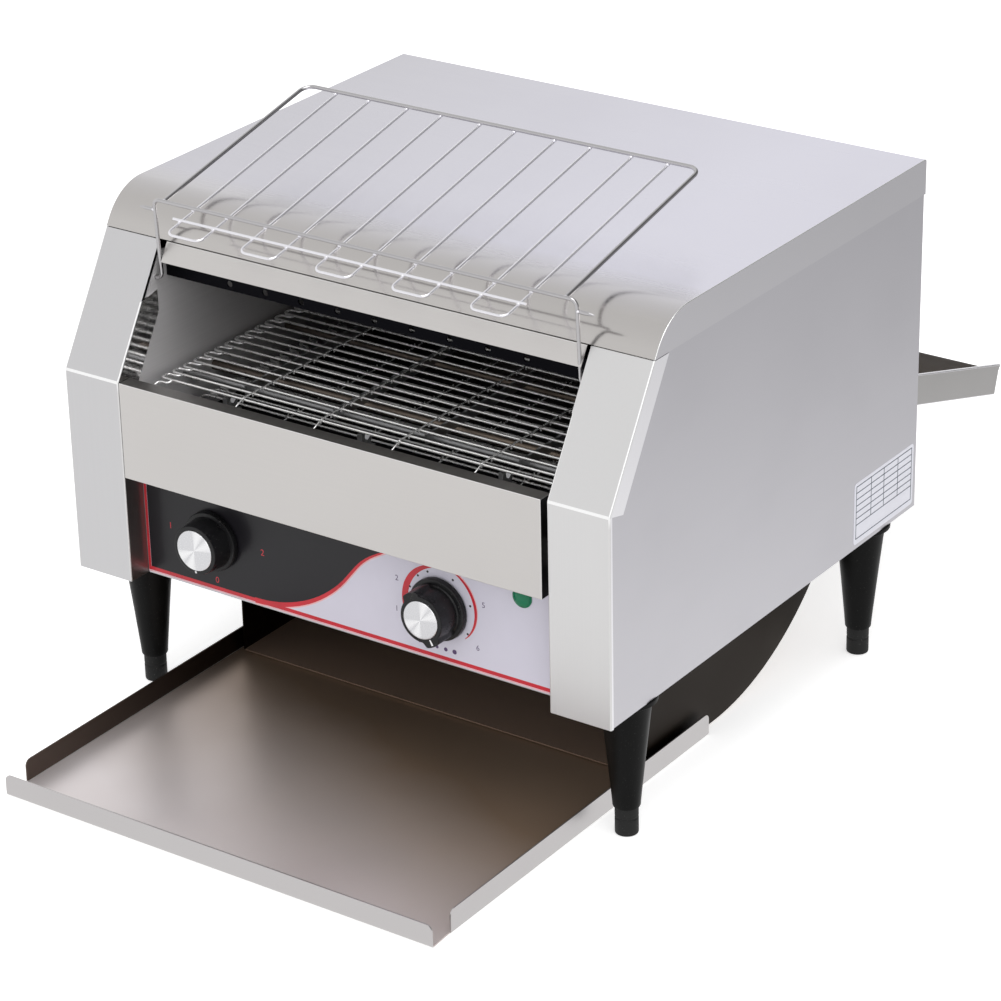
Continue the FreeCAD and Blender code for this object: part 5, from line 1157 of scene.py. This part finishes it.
lip = rounded_outline([(-TRAY_HALF, 0), (TRAY_HALF, 0), (TRAY_HALF, 17, 5), (-TRAY_HALF, 17, 5)])
wall = rounded_outline([(WALL_FRONT, 0), (WALL_FRONT, 18, 5), (TRAY_REAR, 18, 5), (TRAY_REAR, 0)])
patches = [
    ([at(-TRAY_HALF, TRAY_FRONT, 0), at(TRAY_HALF, TRAY_FRONT, 0), at(TRAY_HALF, WALL_FRONT, 0),
      at(TRAY_HALF, TRAY_REAR, 0), at(-TRAY_HALF, TRAY_REAR, 0), at(-TRAY_HALF, WALL_FRONT, 0)], 0),
    ([at(u, TRAY_FRONT, v) for u, v in lip], 1),
    side_patch(-TRAY_HALF, wall, 2), side_patch(TRAY_HALF, wall, 1),
]
# The left wall gets the painted shade of the tray's wall; the floor darkens towards the back, partly heat tint
# and partly painted shade.
tray = folded_sheet("tray_sheet", patches, at(0, 30, 40), 1, 1.2, tray_steel, edge_steel, tray_wall_steel,
                    soft_fold_steel)
mount(tray, "tray", "tray_steel", "toast_tray")
print("tray faces:", len(tray.data.polygons))

# %% [markdown]
# Under the belt a curved slide turns the falling toast towards the tray. It is a floor that bends up
# at the back between two plates which hang from the oven's walls.

# %% Toast slide
SLIDE_HALF, SLIDE_FRONT, SLIDE_REAR, HOOK_HEIGHT = 182, 120, 372, 124
floor_line = [(SLIDE_FRONT, 1.8), *arc((217, 206.8), 205, -90, -20, 24)]
top_edge = floor_line[-1][1]
patches = across_line(floor_line, -SLIDE_HALF, SLIDE_HALF, 1)
patches += both_sides(SLIDE_HALF, floor_line + [(SLIDE_REAR, top_edge), (SLIDE_FRONT, top_edge)], 0)
# The side plates and folds are near-black, painted shade; the floor is a lighter copy, painted light.
slide = folded_sheet("slide_sheet", patches, at(0, 250, 90), 1, 0.9, slide_steel, slide_face, slide_steel)
mount(slide, "casing", "slide_steel", "toast_slide")
for name, side in (("left", -1), ("right", 1)):
    hook = prism(f"slide_{name}_hook", rectangle(181 * side, SLIDE_FRONT, 186 * side, SLIDE_REAR),
                 HOOK_HEIGHT, HOOK_HEIGHT + 1, "z", slide_steel)
    mount(shade(hook), "casing", "slide_steel")

# %% [markdown]
# The rear chute is drawn level and then tipped down about its sill. Its walls end in a narrow rim that
# was left bright, and its floor is browned by the crumbs and the heat of the toast.

# %% Rear chute
TIP = math.radians(16.6)
CHUTE_HALF, THROAT_HALF, CHUTE_END, WALL_END, CHUTE_WALL = 190, 182, 222, 224, 25
SILL, SILL_HEIGHT = 0.73, 176


def on_chute(*spots):
    """Points of the chute from (across, along, rise), tipped down towards the back."""
    return [at(across, REAR_FACE + along * math.cos(TIP) + rise * math.sin(TIP),
               SILL_HEIGHT - along * math.sin(TIP) + rise * math.cos(TIP)) for across, along, rise in spots]


leaned = SILL - CHUTE_WALL * math.tan(TIP)
patches = [(on_chute((-THROAT_HALF, -40, 0), (THROAT_HALF, -40, 0), (THROAT_HALF, SILL, 0),
                     (CHUTE_HALF, SILL, 0), (CHUTE_HALF, CHUTE_END, 0), (-CHUTE_HALF, CHUTE_END, 0),
                     (-CHUTE_HALF, SILL, 0), (-THROAT_HALF, SILL, 0)), 0)]
for side in (-CHUTE_HALF, CHUTE_HALF):
    rim = side - math.copysign(3, side)
    patches.append((on_chute((side, SILL, 0), (side, leaned, CHUTE_WALL), (side, WALL_END, CHUTE_WALL),
                             (side, CHUTE_END, 20), (side, CHUTE_END, 0)), 0))
    patches.append((on_chute((side, leaned, CHUTE_WALL), (rim, leaned, CHUTE_WALL), (rim, WALL_END, CHUTE_WALL),
                             (side, WALL_END, CHUTE_WALL)), 1))
casing_sheet("chute_sheet", ["rear_chute"], patches, *on_chute((0, 100, 60)), 0.9, chute_steel, bright_steel)
lip_corners = on_chute((-189, CHUTE_END, 0.4), (189, CHUTE_END, 0.4), (189, CHUTE_END, 20),
                       (-189, CHUTE_END, 20))
casing_sheet("chute_lip", [], [(lip_corners, 0)], *on_chute((0, 100, 10)), 0.5, chute_steel)
lining_corners = on_chute((-188.8, 2, 1.25), (188.8, 2, 1.25), (188.8, 220.8, 1.25), (-188.8, 220.8, 1.25))
lining = folded_sheet("chute_lining", [(lining_corners, 0)], *on_chute((0, 100, -20)), 0.2, 0.1, chute_inside)
mount(lining, "casing", "casing_steel")
print("chute made")

# %% [markdown]
# Four tapered legs carry the machine. Each is moulded round a threaded stud, with a flat flange against
# the base rail and a groove above the levelling foot, which screws into its lower end.

# %% Legs and feet
LEG = [(0, 62), (4.1, 62), (4.1, 21.5), (9.0, 21.5), (9.7, 21.8), (10, 22.6), (10.2, 25.5), (10.9, 33),
       (13.8, 62), (17.6, 98), (18.5, 105.2), (19.1, 106), (21.9, 106), (22.4, 106.4), (22.5, 107),
       (22.5, 109.4), (22.1, 110), (4, 110), (4, 120), (0, 120)]
FOOT = [(0, 0.3), (3, 0), (7.6, 0), (8.3, 0.3), (8.5, 1.0), (8.5, 12), (8.1, 12.6), (8.1, 13.6), (8.5, 14.2),
        (8.5, 21.3), (4, 21.5), (4, 58), (0, 58)]
LEG_ACROSS, FRONT_LEG, REAR_LEG = 213, 52, 376
for side_name, across in (("left", -LEG_ACROSS), ("right", LEG_ACROSS)):
    for end_name, setback in (("front", FRONT_LEG), ("rear", REAR_LEG)):
        name = f"{side_name}_{end_name}"
        leg = turned(f"{name}_leg_body", LEG, "z", (across, setback), leg_plastic, 56)
        mount(shade(leg, 32), "casing", "leg_plastic", f"{name}_leg")
        foot = turned(f"{name}_foot_body", FOOT, "z", (across, setback), foot_rubber, 48)
        mount(shade(foot, 32), f"{name}_foot_screw", "foot_rubber", f"{name}_foot")
print("legs made")

# %% [markdown]
# Screws repeat, so one head is modelled with its cross recess and a tree puts it on a list of points.
# Two rows hold the rear panel and one small screw holds the fascia's ear.

# %% Casing screws
HEAD_SIDES = 24
ROW_ACROSS, ROW_FOOT, ROW_STEP = 222, 128, 74


def screw_head():
    """A pan head with a cross recess that faces -Y, about the origin, one unit in radius."""
    shape = spin([(1.0, 0.0), (1.0, -0.22), (0.9, -0.42), (0.62, -0.55), (0.0, -0.58)], HEAD_SIDES,
                 lambda u, along, v: (u, along, v))
    shape.faces.new(shape.verts[:HEAD_SIDES][::-1])
    bmesh.ops.recalc_face_normals(shape, faces=shape.faces)
    head = piece_from("head", shape)
    cutters = []
    for turn in (0, math.pi / 2):
        block = bmesh.new()
        bmesh.ops.create_cube(block, size=1.0)
        bmesh.ops.scale(block, vec=(1.05, 0.5, 0.17), verts=block.verts)
        bmesh.ops.translate(block, vec=(0, -0.62, 0), verts=block.verts)
        bmesh.ops.rotate(block, matrix=Matrix.Rotation(turn, 3, "Y"), verts=block.verts)
        cutters.append(piece_from("bar", block))
        cut = head.modifiers.new("recess", "BOOLEAN")
        cut.operation = "DIFFERENCE"
        cut.object = cutters[-1]
    bake(head)
    for cutter in cutters:
        bpy.data.objects.remove(cutter)
    return head


head = screw_head()
screw_tree, entry = start_tree("screw_rows", [("Head", "Object", None), ("Head Radius", "Float", 0.0035),
                                              ("Quarter Turns", "Float", 0.0), ("Seed", "Int", 4)])
loose = node(screw_tree, "FunctionNodeRandomValue", {2: 0.0, 3: 1.57, "Seed": entry["Seed"]},
             data_type="FLOAT")
repeat(screw_tree, entry, "Head", {"Y": loose.outputs[1], "Z": entry["Quarter Turns"]}, entry["Head Radius"])


def screws(name, points, radius, turn, *nodes):
    """Screw heads on a list of points."""
    item = run_tree(line_object(name, zip(points)), screw_tree, Head=head, Head_Radius=mm(radius),
                    Quarter_Turns=turn, Seed=4, Material=screw_steel)
    item.data.shade_smooth()
    item.data.set_sharp_from_angle(angle=math.radians(30))
    return mount(item, "casing", "screw_steel", *nodes)


screws("rear_screws", [at(ROW_ACROSS * side, REAR_FACE, ROW_FOOT + ROW_STEP * count)
                       for side in (-1, 1) for count in range(4)], 3.5, math.pi, "casing_screws")
screws("ear_screw", [at(182.4, 11, 225)], 2.0, 0.0)
bpy.data.objects.remove(head)
print("screws placed")

# %% [markdown]
# The rating label is left blank, as a form without its text: a pale film with ruled lines, low on the
# right wall. The lines are thin raised bars, so they stay crisp however near the camera comes.

# %% Blank label
LABEL_LEFT, LABEL_RIGHT, LABEL_TOP, TABLE_FOOT, LABEL_FOOT = 331, 414, 160.5, 129, 118
RULE_HALF, ROW_GAP = 0.4, 5.2
plate = rounded_outline([(328, 113.5, 3), (417, 113.5, 3), (417, 163.5, 3), (328, 163.5, 3)])
plate = prism("label_plate", plate, SIDE_FACE, SIDE_FACE + 0.2, "x", label_film)
mount(shade(plate), "casing", "label_film", "rating_label")


def ruled(name, y_low, z_low, y_high, z_high):
    """One ruled line of the label."""
    bar = prism(name, rectangle(y_low, z_low, y_high, z_high), SIDE_FACE + 0.19, SIDE_FACE + 0.24, "x",
                label_ink)
    return mount(shade(bar), "casing", "label_film")


rows = [(f"row_{row + 1}", LABEL_TOP - ROW_GAP * row) for row in range(7)] + [("foot_line", LABEL_FOOT)]
for name, height in rows:
    ruled(f"label_{name}", LABEL_LEFT, height - RULE_HALF, LABEL_RIGHT, height + RULE_HALF)
for number, setback in enumerate((LABEL_LEFT, 353, 372, 393, LABEL_RIGHT), start=1):
    low = LABEL_FOOT - 0.3 if setback in (LABEL_LEFT, LABEL_RIGHT) else TABLE_FOOT
    ruled(f"label_column_{number}", setback - RULE_HALF, low, setback + RULE_HALF, LABEL_TOP + 0.2)
print("label ruled")

# %% [markdown]
# The gland lets the supply cord in at the back. It is a moulded nut with flats, a flange and a domed
# nose with a bore, so its profile is spun with six shallow flats cut into the nut.

# %% Cord gland


def flats(angle, radius, along):
    """Six flats on the gland's nut."""
    if radius < 10 or along < REAR_FACE:
        return 0
    part = (math.degrees(angle) + 30) % 60 - 30
    return 9.6 / math.cos(math.radians(part)) - radius


gland = turned("gland_body", [
    (4, 415), (11, 415), (11, 420), (8, 420), (8, REAR_FACE), (11, 421.1), (11, 426.2), (10.2, 427), (9.2, 429.5),
    (8.0, 431.8), (6.5, 433), (4, 433), (4, 415)], "y", (-212, 150), switch_plastic, 72, flats)
mount(shade(gland, 34), "casing", "switch_plastic", "cord_gland")

# %% [markdown]
# What is left is right as the CAD model has it, and only needs its finish. The material goes into the
# object's own slots; the CAD mesh itself isn't touched.

# %% Finishes of the carried-over pieces
FINISHES = {
    side_steel: ["left_side_panel", "right_side_panel"],
    plain_steel: ["rear_panel", "left_base_rail", "right_base_rail", "control_bay", "control_panel",
                  "motor_bracket"],
    liner_steel: ["left_liner", "right_liner"],
    reflector_steel: ["upper_reflector", "lower_reflector"],
    tube_steel: ["upper_heaters", "lower_heaters"],
    ceramic: ["heater_insulators"],
    drive_steel: ["idler_shaft", "idler_sprockets", "drive_shaft", "drive_sprockets", "belt_rails",
                  "motor_sprocket", "driven_sprocket", "drive_chain"],
    bronze: ["shaft_bearings"],
    motor_alloy: ["gear_motor"],
    switch_plastic: ["selector_switch", "speed_control", "lamp_body", "terminal_block"],
}
for material, names in FINISHES.items():
    for name in names:
        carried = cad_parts[name]
        if not carried.material_slots:
            carried.data.materials.append(material)
        for place_for in carried.material_slots:
            place_for.material = material
print("CAD nodes with a new finish:", sum(len(names) for names in FINISHES.values()))

# %% [markdown]
# Last, the size of the dressed model is written next to the size of the CAD model, so that the two can
# be compared: clothes never change the machine's dimensions.

# %% Sizes and the end
dressed_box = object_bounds()
for label, box in (("CAD", cad_box), ("dressed", dressed_box)):
    print(label, [[round(value, 4) for value in corner] for corner in box])
